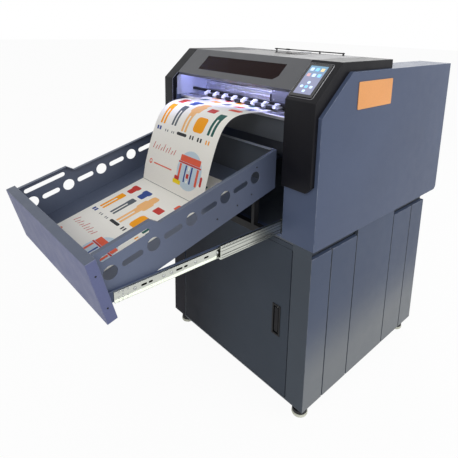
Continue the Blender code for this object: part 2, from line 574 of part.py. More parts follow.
def make_hood():
    w = SHELL
    x0, x1 = BEZEL_L_IN + HOOD_GAP, BEZEL_R_IN - HOOD_GAP
    half = math.atan2(SLOPE.y, SLOPE.x) / 2
    outer = [on_slope(HOOD_LIP), (SLOPE_END_Y, COVER_TOP), (COVER_REAR, COVER_TOP), (COVER_REAR, HINGE_Z - 0.007),
             (HINGE_Y - 0.007, HINGE_Z - 0.007), (HINGE_Y - 0.007, COVER_TOP - w)]
    inner = [(SLOPE_END_Y + w * math.tan(half), COVER_TOP - w), on_slope(HOOD_LIP + w, -w),
             on_slope(HOOD_LIP + w, -0.015), on_slope(HOOD_LIP, -0.015)]
    hood = prism("hood", "X", x0, x1, outer + inner, "hood_grey")
    # window opening in the slope and a second one in the flat top
    cut(hood, window("opening", 0.0, -0.02, 0.02, "slate"))
    cut(hood, box("top_opening", TOPWIN_X0, TOPWIN_X1, TOPWIN_Y0, TOPWIN_Y1, COVER_TOP - 0.02, COVER_TOP + 0.02,
                  "slate"))
    reach = 0.004
    for xa, xb in ((x0 - reach, x0 + 0.004), (x1 - 0.004, x1 + reach)):
        join(hood, prism("hinge_pin", "X", xa, xb, circle(HINGE_Y, HINGE_Z, HINGE_PIN_D / 2, 14), "hood_grey"))
    pane = window("hood_window", -0.008, -WINDOW_T - w - GAP, -w - GAP, "tinted")
    join(pane, window("pane_step", GAP, -w - GAP - 0.0005, -0.0006, "tinted"))
    e = 0.008
    top = box("hood_top_window", TOPWIN_X0 - e, TOPWIN_X1 + e, TOPWIN_Y0 - e, TOPWIN_Y1 + e,
              COVER_TOP - w - GAP - WINDOW_T, COVER_TOP - w - GAP, "tinted")
    join(top, box("step", TOPWIN_X0 + GAP, TOPWIN_X1 - GAP, TOPWIN_Y0 + GAP, TOPWIN_Y1 - GAP,
                  COVER_TOP - w - GAP - 0.0005, COVER_TOP - 0.0006, "tinted"))
    # light bar behind the lower lip
    a, b = HOOD_LIP + w + GAP, HOOD_LIP + w + 0.014
    bar = prism("light_bar", "X", BAY_L + 0.02, BAY_R - 0.02, [
        on_slope(a, -w - GAP), on_slope(b, -w - GAP), on_slope(b, -w - 0.008), on_slope(a, -w - 0.008)], "light")
    # low rod with two posts and a stop along the rear edge of the hood
    ry, rz, rr = COVER_REAR - 0.014, COVER_TOP + 0.0075, 0.0022
    rod = prism("hood_rod", "X", -0.160, 0.172, circle(ry, rz, rr, 10), "black")
    for px, half_w in ((-0.150, 0.003), (0.064, 0.003), (0.166, 0.003), (-0.091, 0.008)):
        join(rod, box("post", px - half_w, px + half_w, ry - 0.004, ry + 0.004,
                      COVER_TOP + GAP if half_w < 0.005 else COVER_TOP + 0.002, rz + 0.001 + half_w / 4, "black"))
    return hood, pane, top, bar, rod


def window(name, inset, low, high, colour):
    """The tinted pane's outline on the slope, with its lower right corner cut."""
    t0, t1, x0, x1, c = WINDOW_T0 + inset, WINDOW_T1 - inset, WINDOW_X0 + inset, WINDOW_X1 - inset, WINDOW_CUT
    outline = [(x0, t0), (x1 - c, t0), (x1, t0 + c), (x1, t1), (x0, t1)]
    verts = [(x,) + on_slope(t, low) for x, t in outline] + [(x,) + on_slope(t, high) for x, t in outline]
    n = len(outline)
    faces = [tuple(range(n)), tuple(range(2 * n - 1, n - 1, -1))]
    faces += [(i, (i + 1) % n, (i + 1) % n + n, i + n) for i in range(n)]
    return add(name, verts, faces, colour)


# ---------------------------------------------------------------- print engine
def make_engine():
    g = GAP
    z0, z1 = PLATEN_Z - PLATEN_T, PLATEN_Z
    r = FEED_D / 2
    axis_z = PLATEN_Z - r
    ya, yb = ROLLER_Y - r - 0.001, ROLLER_Y + r + 0.001
    prism("platen_front", "X", BAY_L + g, BAY_R - g, [
        (PLATEN_FRONT, z0 + 0.004), (PLATEN_FRONT + 0.003, z0), (ya, z0), (ya, z1), (PLATEN_FRONT + 0.002, z1),
        (PLATEN_FRONT, z1 - 0.002)], "alloy")
    rear = TABLE_FRONT
    cap_x0, cap_x1, cap_y0, cap_y1 = BAY_R - 0.115, BAY_R - 0.012, 0.094, 0.139
    table = prism("platen_rear", "Z", z0, z1, [(BAY_L + g, yb), (BAY_R - g, yb), (BAY_R - g, rear), (BAY_L + g, rear)],
                  "alloy", holes=[[(cap_x0, cap_y0), (cap_x1, cap_y0), (cap_x1, cap_y1), (cap_x0, cap_y1)]])
    join(table, *[box("leg", BAY_L + 0.002, BAY_R - 0.002, ly, ly + 0.006, DECK_Z + DECK_T + g, z0 + 0.004, "alloy")
                  for ly in (0.186, rear - 0.008)])
    station = box("capping_station", cap_x0 + 0.002, cap_x1 - 0.002, cap_y0 + 0.002, cap_y1 - 0.002,
                  DECK_Z + DECK_T + g, z1 - 0.004, "black")
    caps = [box("cap", cx, cx + 0.034, 0.102, 0.131, z1 - 0.008, z1 + 0.0015, "rubber")
            for cx in (cap_x0 + 0.010, cap_x0 + 0.050)]
    join(station, *caps)
    d0 = DECK_Z + DECK_T + g
    prism("feed_table", "X", BAY_L + g, BAY_R - g, [
        (rear + g, d0), (rear + g, z1), (TABLE_REAR - 0.080, z1), (TABLE_REAR, z1 - 0.028), (TABLE_REAR, d0),
        (TABLE_REAR - 0.003, d0), (TABLE_REAR - 0.003, z1 - 0.030), (TABLE_REAR - 0.081, z1 - 0.003),
        (rear + 0.003, z1 - 0.003), (rear + 0.003, d0)], "slate")
    # feed roller with journals that run in the end-box walls
    ja, jb = BAY_L + g, BAY_R - g
    turned("feed_roller", "X", (ROLLER_Y, axis_z), [
        (ja, 0.005), (ja + 0.008, 0.005), (ja + 0.008, r - g), (jb - 0.008, r - g), (jb - 0.008, 0.005), (jb, 0.005)],
        "steel", steps=28)
    # pinch rollers on one shaft, over the feed roller
    pz = PLATEN_Z + MEDIA_T + g + PINCH_D / 2
    rows = []
    first = PINCH_MID - PINCH_PITCH * (PINCH_N - 1) / 2
    s, p = PINCH_SHAFT_D / 2, PINCH_D / 2
    rows.append((first - PINCH_PITCH / 2 - 0.004, s))
    for i in range(PINCH_N):
        c = first + i * PINCH_PITCH
        rows += [(c - PINCH_W / 2, s), (c - PINCH_W / 2, p), (c + PINCH_W / 2, p), (c + PINCH_W / 2, s)]
    rows.append((first + PINCH_PITCH * (PINCH_N - 0.5) + 0.004, s))
    turned("pinch_rollers", "X", (ROLLER_Y, pz), rows, "rubber", steps=16)
    ry = ROLLER_Y
    bar = box("pinch_bar", BAY_L + g, BAY_R - g, ry + 0.014, ry + 0.026, z1 + 0.015, z1 + 0.024, "white")
    arms = []
    for i in range(PINCH_N + 1):
        c = first + (i - 0.5) * PINCH_PITCH
        arms.append(prism("arm", "X", c - 0.006, c + 0.006, [
            (ry + 0.020, z1 + 0.0165), (ry + 0.020, z1 + 0.023), (ry + 0.008, z1 + 0.0235),
            (ROLLER_Y - 0.006, pz + 0.009), (ROLLER_Y - 0.008, pz + 0.001),
            (ROLLER_Y - s - g, pz + 0.001), (ROLLER_Y - s - g, pz + s + g), (ROLLER_Y + s + g, pz + s + g),
            (ROLLER_Y + s + g, pz - 0.001), (ry + 0.009, pz - 0.001)], "white"))
    join(bar, *arms)
    # guide beam with open T-slots
    by0, by1, bz0, bz1 = BEAM_Y0, BEAM_Y1, BEAM_Z0, BEAM_Z1
    mid = (bz0 + bz1) / 2
    prism("guide_beam", "X", BAY_L + g, BAY_R - g, [
        (by0, bz0), (by1, bz0), (by1, bz1), (by0 + 0.018, bz1), (by0 + 0.018, bz1 - 0.004), (by0 + 0.012, bz1 - 0.004),
        (by0 + 0.012, bz1), (by0, bz1), (by0, mid + 0.004), (by0 + 0.005, mid + 0.004), (by0 + 0.005, mid - 0.004),
        (by0, mid - 0.004)], "alloy")
    # carriage that hooks over the beam
    x0, x1 = CARRIAGE_X0, CARRIAGE_X0 + CARRIAGE_W
    c0, c1 = CARRIAGE_Z0, CARRIAGE_Z1
    carriage = prism("carriage", "X", x0, x1, [
        (CARRIAGE_FRONT, c0 + 0.012), (CARRIAGE_FRONT + 0.008, c0), (by0 - g, c0), (by0 - g, bz1 + g), (by1 + g, bz1 + g),
        (by1 + g, bz0 + 0.010), (by1 + 0.006, bz0 + 0.010), (by1 + 0.006, c1), (CARRIAGE_FRONT + 0.008, c1),
        (CARRIAGE_FRONT, c1 - 0.008)], "hood_grey")
    heads = box("print_heads", x0 + 0.042, x0 + 0.120, 0.103, 0.130, PLATEN_Z + 0.0025, c0 - g, "black")
    lamp = box("uv_lamp", x0 - 0.012, x0 - g, 0.100, 0.136, c0 + 0.001, c0 + 0.036, "black")
    # toothed belt behind the beam, between the two end boxes
    belt_y, belt_z = by1 + 0.012, mid + 0.002
    prism("drive_belt", "X", BAY_L + g, BAY_R - g, [
        (belt_y - 0.0008, belt_z - 0.005), (belt_y + 0.0008, belt_z - 0.005), (belt_y + 0.0008, belt_z + 0.005),
        (belt_y - 0.0008, belt_z + 0.005)], "rubber")
    return carriage, heads, lamp, axis_z, pz


def make_inside():
    """Rack of ink tanks in the right housing."""
    zf = BODY_BOTTOM + SHELL + GAP
    x0, x1 = BAY_R + 0.016, BODY_RIGHT - 0.016
    rack = box("ink_tanks", x0, x1, 0.240, 0.560, zf, zf + 0.020, "slate")
    bottles = []
    for i in range(4):
        y = 0.256 + 0.076 * i
        bottles.append(box("bottle", x0 + 0.008, x1 - 0.008, y, y + 0.060, zf + 0.010, zf + 0.140, "white"))
        bottles.append(prism("neck", "Z", zf + 0.130, zf + 0.160, circle((x0 + x1) / 2, y + 0.030, 0.014, 12), "white"))
    join(rack, *bottles)


# ---------------------------------------------------------------- slides and catch tray
def slide_set(side, suffix):
    """Outer, middle and inner members of one ball-bearing slide; side is +1 on the right wall."""
    wall = BAY_MID + side * (BAY_HALF - GAP)
    t = SLIDE_SHEET

    def profile(depth0, depth1, half, race):
        """C section, open towards the tray: depths are measured from the bay wall."""
        return [(depth0, -half), (depth1, -half), (depth1, -half + race), (depth0 + t, -half + race),
                (depth0 + t, half - race), (depth1, half - race), (depth1, half), (depth0, half)]

    def channel(name, rows, y0, y1):
        pts = [(wall - side * d, SLIDE_Z + h) for d, h in rows]
        return prism(name, "Y", y0, y1, pts, "steel")
    oh, ih = OUTER_H / 2, INNER_H / 2
    channel("slide_outer_" + suffix, profile(0.0, SLIDE_T - 0.001, oh, t), OUTER_Y0, OUTER_Y1)
    mh = oh - t - RACE
    mid = channel("slide_middle_" + suffix, profile(t + RACE, SLIDE_T - 0.0022, mh, mh - ih - RACE), MID_Y0, MID_Y1)
    # the inner member opens towards the bay wall, so its screws are reached from outside
    d0, d1 = 2 * t + 2 * RACE + 0.0012, SLIDE_T
    rows = [(d1, -ih), (d0, -ih), (d0, -ih + t), (d1 - t, -ih + t), (d1 - t, ih - t), (d0, ih - t), (d0, ih), (d1, ih)]
    inner = channel("slide_inner_" + suffix, rows, INNER_Y0, INNER_Y1)
    # painted carrier between the slide and the tray wall; its front follows the tilted front panel
    xs = sorted((wall - side * (SLIDE_T + GAP), BAY_MID + side * (TRAY_HALF + GAP)))
    lo, hi = SLIDE_Z - ih, SLIDE_Z + ih
    front = [in_tray(GAP, n) for n in ((lo - TRAY_Z) / math.cos(TILT), (hi - TRAY_Z) / math.cos(TILT))]
    carrier = prism("tray_carrier_" + suffix, "X", xs[0], xs[1], [
        (front[0][0], lo), (INNER_Y1, lo), (INNER_Y1, hi), (front[1][0], hi)], "blue_grey")
    return mid, inner, carrier


def tray_wall(name, side):
    """Side wall of the tray, with its row of round and long holes and an inward flange on top."""
    holes = []
    for i in range(9):
        s = HOLE_S + i * HOLE_PITCH
        holes.append(circle(s, HOLE_N, HOLE_D / 2, 20) if i % 2 == 0 else pill(s, HOLE_N, SLOT_L, SLOT_H, 6))
    holes.append(pill((HAND_S0 + HAND_S1) / 2, HAND_N, HAND_S1 - HAND_S0, HAND_H, 6))
    rim = [(GAP, WALL_HIGH), (WALL_STEP0, WALL_HIGH), (WALL_STEP1, WALL_H), (tray_end(WALL_H), WALL_H)]
    outline = [(GAP, 0.0)] + rim + [(tray_end(0.0), 0.0)]
    place = lambda loop: [in_tray(s, n) for s, n in loop]
    x_out = BAY_MID + side * TRAY_HALF
    xs = sorted((x_out, x_out - side * SHEET))
    wall = prism(name, "X", xs[0], xs[1], place(outline), "slate", holes=[place(h) for h in holes])
    low = [(s, n - SHEET) for s, n in rim]
    low[1] = (WALL_STEP0 - SHEET * 0.45, WALL_HIGH - SHEET)
    low[2] = (WALL_STEP1 - SHEET * 0.45, WALL_H - SHEET)
    low[3] = (tray_end(WALL_H - SHEET), WALL_H - SHEET)
    fs = sorted((x_out - side * 0.0005, x_out - side * FLANGE))
    join(wall, prism("flange", "X", fs[0], fs[1], place(rim + low[::-1]), "slate"))
    return wall


def make_tray():
    parts = []
    g = GAP
    x0, x1 = BAY_MID - TRAY_HALF + SHEET + g, BAY_MID + TRAY_HALF - SHEET - g
    parts += [tray_wall("tray_wall_right", 1), tray_wall("tray_wall_left", -1)]
    rear_in = TRAY_REAR - SHEET - g
    top, bot = FLOOR_N + SHEET, FLOOR_N
    parts.append(prism("tray_floor", "X", x0, x1, [
        in_tray(g, bot), in_tray(tray_end(bot, rear_in), bot), in_tray(tray_end(top, rear_in), top),
        in_tray(g, top)], "slate"))
    zb, zt = in_tray(tray_end(0.0), 0.0)[1], in_tray(tray_end(WALL_H), WALL_H)[1]
    f = 0.018
    fx0, fx1 = BAY_MID - TRAY_HALF + FLANGE + g, BAY_MID + TRAY_HALF - FLANGE - g
    rear = prism("tray_rear", "X", x0, x1, [
        (TRAY_REAR, zb), (TRAY_REAR, zt - SHEET - 0.006), (TRAY_REAR - SHEET, zt - SHEET - 0.006), (TRAY_REAR - SHEET, zb)],
        "slate")
    join(rear, prism("lip", "X", fx0, fx1, [
        (TRAY_REAR, zt - 0.012), (TRAY_REAR, zt), (TRAY_REAR - f, zt), (TRAY_REAR - f, zt - SHEET),
        (TRAY_REAR - SHEET, zt - SHEET), (TRAY_REAR - SHEET, zt - 0.012)], "slate"))
    parts.append(rear)
    fx0, fx1 = BAY_MID - FRONT_HALF, BAY_MID + FRONT_HALF
    front = prism("tray_front", "X", fx0, fx1, [
        in_tray(-FRONT_T, -FRONT_LOW), in_tray(0.0, -FRONT_LOW), in_tray(0.0, FRONT_HIGH),
        in_tray(-FRONT_T, FRONT_HIGH)], "blue_grey")
    w = SHEET
    cut(front, prism("hollow", "X", fx0 + w, fx1 - w, [
        in_tray(-FRONT_T + w, -FRONT_LOW - 0.01), in_tray(-w, -FRONT_LOW - 0.01), in_tray(-w, FRONT_HIGH - w),
        in_tray(-FRONT_T + w, FRONT_HIGH - w)], "slate"))
    parts.append(front)
    # stand: a cross bar between the carriers with two uprights under the floor
    y0, y1 = -0.070, -0.050
    lo, hi = SLIDE_Z - INNER_H / 2 + 0.002, SLIDE_Z + INNER_H / 2 - 0.002
    cx0, cx1 = BAY_MID - TRAY_HALF, BAY_MID + TRAY_HALF
    stand = box("tray_stand", cx0, cx1, y0, y1, lo, hi, "slate")
    za = TRAY_Z + (y0 - TRAY_Y) * math.tan(TILT) + (FLOOR_N - g) / math.cos(TILT)
    zb = TRAY_Z + (y1 - TRAY_Y) * math.tan(TILT) + (FLOOR_N - g) / math.cos(TILT)
    for x in (cx0 + 0.030, cx1 - 0.042):
        join(stand, prism("upright", "X", x, x + 0.012, [(y0, lo + 0.004), (y1, lo + 0.004), (y1, zb), (y0, za)], "slate"))
    parts.append(stand)
    return parts


# ---------------------------------------------------------------- printed sheets
def hanging_curve():
    """(y, z) along the sheet that comes over the platen and hangs down on to the tray, underside first."""
    floor_y = -0.2168
    floor_z = TRAY_Z + (floor_y - TRAY_Y) * math.tan(TILT) + (FLOOR_N + SHEET + GAP + MEDIA_T + GAP) / math.cos(TILT)
    z = PLATEN_Z + GAP
    knots = [(SHEET_END, z), (0.056, z), (0.018, z), (-0.020, z + 0.0024), (-0.055, z + 0.0034), (-0.088, z + 0.0006),
             (-0.118, z - 0.0105), (-0.142, z - 0.032), (-0.160, z - 0.062), (-0.174, z - 0.096),
             (-0.186, z - 0.130), (-0.197, z - 0.168), (-0.208, z - 0.208), (floor_y, floor_z)]
    out = []
    for i in range(len(knots) - 1):
        p0, p1, p2, p3 = (Vector(knots[max(0, min(len(knots) - 1, i + k))]) for k in (-1, 0, 1, 2))
        steps = 1 if i < 1 else 3
        for j in range(steps):
            t = j / steps
            out.append(0.5 * ((2 * p1) + (p2 - p0) * t + (2 * p0 - 5 * p1 + 4 * p2 - p3) * t * t
                              + (3 * p1 - p0 - 3 * p2 + p3) * t ** 3))
    out.append(Vector(knots[-1]))
    return out


def make_sheets():
    line = hanging_curve()
    upper = []
    for i, p in enumerate(line):
        a, b = line[max(0, i - 1)], line[min(len(line) - 1, i + 1)]
        d = (b - a).normalized()
        n = Vector((d.y, -d.x))
        upper.append(p + n * MEDIA_T)
    hanging = prism("sheet_hanging", "X", SHEET_X0, SHEET_X0 + SHEET_W,
                    [tuple(p) for p in line] + [tuple(p) for p in reversed(upper)], "paper", smooth=True)
    n0 = FLOOR_N + SHEET + GAP
    lying = prism("sheet_lying", "X", LYING_X0, LYING_X0 + SHEET_W, [
        in_tray(LYING_S0, n0), in_tray(LYING_S1, n0), in_tray(LYING_S1, n0 + MEDIA_T), in_tray(LYING_S0, n0 + MEDIA_T)],
        "paper")
    return hanging, lying


# ---------------------------------------------------------------- build
def build():
    for obj in list(bpy.data.objects):
        bpy.data.objects.remove(obj)
    make_feet()
    make_cabinet_frame()
    make_cabinet_sides()
    make_cabinet_back()
    door, latch, handle, door_axis, handle_axis = make_door()
    rocker, rocker_at, _ = make_housing()
    make_covers()
    hood_parts = make_hood()
    carriage, heads, lamp, feed_z, pinch_z = make_engine()
    make_inside()
    tray_parts = make_tray()
    middles = []
    for side, suffix in ((1, "right"), (-1, "left")):
        mid, inner, carrier = slide_set(side, suffix)
        middles.append(mid)
        tray_parts += [inner, carrier]
    hanging, lying = make_sheets()
    tray_parts.append(lying)

    door_at = joint_empty("door_joint", door_axis[0], door_axis[1], (FOOT_H + DOOR_TOP) / 2)
    hang(door_at, door, latch)
    hang(joint_empty("latch_joint", LATCH_X, handle_axis[0], handle_axis[1]), handle)
    hang(joint_empty("rocker_joint", *rocker_at), rocker)
    hang(joint_empty("hood_joint", (BEZEL_L_IN + BEZEL_R_IN) / 2, HINGE_Y, HINGE_Z), *hood_parts)
    hang(joint_empty("carriage_joint", CARRIAGE_X0 + CARRIAGE_W / 2, BEAM_Y0, BEAM_Z0), carriage, heads, lamp)
    hang(joint_empty("feed_joint", BAY_MID, ROLLER_Y, feed_z), bpy.data.objects["feed_roller"])
    hang(joint_empty("pinch_joint", BAY_MID, ROLLER_Y, pinch_z), bpy.data.objects["pinch_rollers"])
    hang(joint_empty("tray_joint", BAY_MID, INNER_Y0, SLIDE_Z), *tray_parts)
    hang(joint_empty("slide_joint", BAY_MID, MID_Y0, SLIDE_Z), *middles)


build()
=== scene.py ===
import json
from math import cos, pi, radians, sin, tan

import bmesh
import bpy
from mathutils import Matrix, Vector

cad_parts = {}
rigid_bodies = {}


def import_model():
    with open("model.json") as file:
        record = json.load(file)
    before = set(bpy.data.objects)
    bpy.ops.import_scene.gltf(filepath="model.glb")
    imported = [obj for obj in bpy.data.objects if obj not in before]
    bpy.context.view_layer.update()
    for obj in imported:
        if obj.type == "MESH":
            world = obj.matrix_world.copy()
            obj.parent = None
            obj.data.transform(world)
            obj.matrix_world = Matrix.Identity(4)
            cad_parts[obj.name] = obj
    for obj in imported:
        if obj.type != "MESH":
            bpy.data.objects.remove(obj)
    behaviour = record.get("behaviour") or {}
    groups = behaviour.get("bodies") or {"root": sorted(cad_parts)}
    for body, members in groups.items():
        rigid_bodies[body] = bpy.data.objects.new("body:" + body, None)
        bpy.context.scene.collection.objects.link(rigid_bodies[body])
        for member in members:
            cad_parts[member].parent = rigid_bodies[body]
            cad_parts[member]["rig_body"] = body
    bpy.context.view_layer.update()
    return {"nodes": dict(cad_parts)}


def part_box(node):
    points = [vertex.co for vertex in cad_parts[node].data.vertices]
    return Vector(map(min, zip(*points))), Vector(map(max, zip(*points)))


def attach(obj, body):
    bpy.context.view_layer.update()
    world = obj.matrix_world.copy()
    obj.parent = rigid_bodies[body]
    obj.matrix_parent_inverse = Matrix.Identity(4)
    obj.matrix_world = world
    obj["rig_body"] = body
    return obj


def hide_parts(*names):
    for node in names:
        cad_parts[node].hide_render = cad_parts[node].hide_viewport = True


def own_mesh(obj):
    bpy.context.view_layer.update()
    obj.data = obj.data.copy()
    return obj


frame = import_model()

# ======== camera, floor and studio light
# The camera stands to the right of the machine and looks down along the open tray. The floor and the
# surroundings are plain white, and three large soft lamps hang over the right side, the front and the rear.
eye = bpy.data.cameras.new("eye")
eye.sensor_width = 36.0
eye.lens = 33.96
eye.shift_x, eye.shift_y = -0.0406, -0.2327
camera = bpy.data.objects.new("camera", eye)
across = Vector((0.68659373, 0.72653953, 0.02700664))
down = Vector((0.1762083, -0.13025197, -0.97569722))
ahead = Vector((-0.70536493, 0.67466639, -0.21745248))
camera.matrix_world = (Matrix.Translation((1.05693, -1.02914, 1.24934))
                       @ Matrix((across, -down, -ahead)).transposed().to_4x4())
bpy.context.scene.collection.objects.link(camera)
bpy.context.scene.camera = camera
bpy.context.scene.view_settings.view_transform = "Standard"


def feed(tree, step, inputs):
    """Sets the inputs of a shading step to numbers and colours, or joins them to other steps."""
    for socket, value in inputs.items():
        if hasattr(value, "is_output"):
            tree.links.new(value, step.inputs[socket])
        else:
            step.inputs[socket].default_value = value


def recipe(tree, kind, inputs, out=0, **settings):
    """Adds one shading step to a surface or a light, with its settings and inputs, and returns an output."""
    step = tree.nodes.new("ShaderNode" + kind)
    for name, value in settings.items():
        setattr(step, name, value)
    feed(tree, step, inputs)
    return step.outputs[out]


def seen_directly(tree):
    """1 for rays from the camera, from gloss or through glass, and 0 for the light that falls on things."""
    last = recipe(tree, "LightPath", {}, "Is Camera Ray")
    for kind in ("Is Glossy Ray", "Is Transmission Ray"):
        last = recipe(tree, "Math", {0: last, 1: recipe(tree, "LightPath", {}, kind)}, operation="MAXIMUM")
    return last


room = bpy.data.worlds.new("white_room")
bpy.context.scene.world = room
room.use_nodes = True
tree = room.node_tree
level = recipe(tree, "MapRange", {"Value": seen_directly(tree), "To Min": 0.46, "To Max": 1.0})
feed(tree, tree.nodes["Background"], {"Color": (1.0, 1.0, 1.0, 1.0), "Strength": level})

bpy.ops.mesh.primitive_plane_add(size=60.0, location=(0.0, 0.0, -0.0004))
floor = bpy.context.object
floor.name = "floor"
white = bpy.data.materials.new("white_floor")
white.use_nodes = True
tree = white.node_tree
tree.nodes.remove(tree.nodes["Principled BSDF"])
matt = recipe(tree, "BsdfDiffuse", {"Color": (0.90, 0.90, 0.90, 1.0)})
share = recipe(tree, "MapRange", {"Value": seen_directly(tree), "To Max": 0.95})
mix = recipe(tree, "MixShader", {"Fac": share, 1: matt, 2: recipe(tree, "Emission", {})})
feed(tree, tree.nodes["Material Output"], {"Surface": mix})
floor.data.materials.append(white)

# the last one is a low violet lamp that fills the print mouth, as the machine's own strip lamp does
for name, place, aim, wide, tall, watts, tint in (
        ("lamp_right", (2.5, 0.9, 2.5), (0.1, 0.0, 0.7), 1.7, 1.7, 34.0, (1.0, 1.0, 1.0)),
        ("lamp_front", (1.5, -2.5, 2.3), (0.0, -0.3, 0.6), 1.6, 1.6, 27.0, (1.0, 1.0, 1.0)),
        ("lamp_rear", (-1.2, 2.6, 2.6), (0.0, 0.2, 0.9), 1.8, 1.8, 22.0, (1.0, 1.0, 1.0)),
        ("lamp_mouth", (-0.03, -0.104, 1.050), (-0.28, 0.146, 0.050), 0.46, 0.02, 0.30, (0.52, 0.54, 1.0))):
    lamp = bpy.data.lights.new(name, "AREA")
    lamp.shape, lamp.size, lamp.size_y, lamp.energy, lamp.color = "RECTANGLE", wide, tall, watts, tint
    hung = bpy.data.objects.new(name, lamp)
    hung.location = place
    hung.rotation_euler = (Vector(aim) - Vector(place)).to_track_quat("-Z", "Y").to_euler()
    bpy.context.scene.collection.objects.link(hung)

# ======== levelling feet
# Four screw feet carry the cabinet. Each is a moulded cream nylon pad about a blackened steel stem, which
# is cut with a thread and locked by a hexagon nut under the cabinet's base.


def finish(name, colour, rough, metallic=0.0, drift=0.07, speck=0.03, grain=900.0, bump=0.05, worn=None,
           rough_drift=0.05, run=(1.0, 1.0, 1.0), coat=0.0, specular=0.5, alpha=1.0):
    """A surface whose colour drifts slowly and in fine specks, with a grain in its gloss and relief, and with
    its rounded edges rubbed to a second colour where one is given. run stretches the grain along an axis."""
    made = bpy.data.materials.new(name)
    made.use_nodes = True
    tree = made.node_tree
    place = recipe(tree, "TexCoord", {}, "Object")
    stretched = recipe(tree, "Mapping", {"Scale": run, "Vector": place})

    def cloud(scale, low, high, detail=2.0, along=stretched):
        cells = recipe(tree, "TexNoise", {"Scale": scale, "Detail": detail, "Vector": along})
        return recipe(tree, "MapRange", {"Value": cells, "From Min": 0.32, "From Max": 0.68, "To Min": low,
                                         "To Max": high})

    def mixed(kind, amount, first, second):
        return recipe(tree, "Mix", {"Factor": amount, "A": first, "B": second}, "Result", data_type="RGBA",
                      blend_type=kind)

    low, high = ((*(min(1.0, c * share) for c in colour), 1.0) for share in (1 - drift, 1 + drift))
    tone = mixed("MIX", cloud(3.1, 0.0, 1.0, 4.0, place), low, high)
    tone = mixed("MULTIPLY", 1.0, tone, cloud(grain * 0.4, 1 - speck, 1 + speck))
    if worn:
        edge = recipe(tree, "Attribute", {}, "Fac", attribute_name="rubbed")
        rub = recipe(tree, "Math", {0: edge, 1: cloud(38.0, 0.0, 0.85, 4.0, place)}, operation="MULTIPLY")
        tone = mixed("MIX", rub, tone, (*worn, 1.0))
    relief = recipe(tree, "Bump", {"Strength": bump, "Distance": 0.0006, "Height": cloud(grain, 0.0, 1.0)})
    gloss = cloud(24.0, rough - rough_drift, rough + rough_drift, 5.0)
    feed(tree, tree.nodes["Principled BSDF"], {
        "Base Color": tone, "Roughness": gloss, "Normal": relief, "Metallic": metallic, "Coat Weight": coat,
        "Specular IOR Level": specular, "Alpha": alpha})
    return made


def piece(name, bm, finishes, body, stands_for=(), sharp=32.0):
    """Turns a finished shape into a named piece that rides on a body."""
    bmesh.ops.recalc_face_normals(bm, faces=bm.faces)
    mesh = bpy.data.meshes.new(name)
    bm.to_mesh(mesh)
    bm.free()
    mesh.shade_smooth()
    mesh.set_sharp_from_angle(angle=radians(sharp))
    for each in (finishes if isinstance(finishes, (list, tuple)) else (finishes,)):
        mesh.materials.append(each)
    made = bpy.data.objects.new(name, mesh)
    bpy.context.scene.collection.objects.link(made)
    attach(made, body)
    if stands_for:
        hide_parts(*stands_for)
    return made


def skin(bm, rings, index=0, ends="capped"):
    """Covers rings of points with faces, one ring to the next. The ends are capped, open or joined."""
    for one, two in zip(rings, rings[1:] + (rings[:1] if ends == "joined" else [])):
        for k in range(len(one)):
            j = (k + 1) % len(one)
            bm.faces.new((one[k], one[j], two[j], two[k])).material_index = index
    for ring in ((rings[0], rings[-1]) if ends == "capped" else ()):
        bm.faces.new(ring).material_index = index


AXES = {"X": Matrix(((0, 0, 1), (1, 0, 0), (0, 1, 0))), "Y": Matrix(((1, 0, 0), (0, 0, 1), (0, -1, 0))),
        "Z": Matrix.Identity(3)}


def lathe(bm, at, axis, rows, steps=28, index=0, hexagon=()):
    """Spins rows of (distance along the axis, radius) about a line through at. axis is X, Y, Z or a turning
    matrix; the rows numbered in hexagon are six-sided."""
    turn = AXES[axis] if isinstance(axis, str) else axis
    sixth = pi / 3
    rings = []
    for number, (along, radius) in enumerate(rows):
        ring = []
        for i in range(steps):
            a = 2 * pi * i / steps
            r = radius
            if number in hexagon:
                r = radius * cos(sixth / 2) / cos((a + sixth / 2) % sixth - sixth / 2)
            ring.append(bm.verts.new(Vector(at) + turn @ Vector((r * cos(a), r * sin(a), along))))
        rings.append(ring)
    skin(bm, rings, index)


def limits(node):
    """The lowest and the highest corner of a part, and its middle."""
    low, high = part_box(node)
    return low, high, (low + high) / 2


cream_nylon = finish("cream_nylon", (0.70, 0.71, 0.60), 0.46, drift=0.05, speck=0.04, grain=420, bump=0.10)
black_steel = finish("black_steel", (0.022, 0.022, 0.024), 0.42, metallic=0.6, grain=700)
PAD = [(0.0, 0.0244), (0.0006, 0.0256), (0.0032, 0.0268), (0.0046, 0.0268), (0.0052, 0.0262), (0.0070, 0.0264),
       (0.0086, 0.0264), (0.0098, 0.0256), (0.0102, 0.0244), (0.0102, 0.0085), (0.0092, 0.0080)]
COLLAR = [(0.0098, 0.0056), (0.0103, 0.0240), (0.0110, 0.0252), (0.0130, 0.0254), (0.0136, 0.0246),
          (0.0144, 0.0246), (0.0150, 0.0254), (0.0186, 0.0250), (0.0200, 0.0236), (0.0212, 0.0130),
          (0.0235, 0.0116), (0.0235, 0.0062)]
THREAD_FOOT, THREAD_TURNS, NUT_TALL = 0.0236, 15, 0.0046
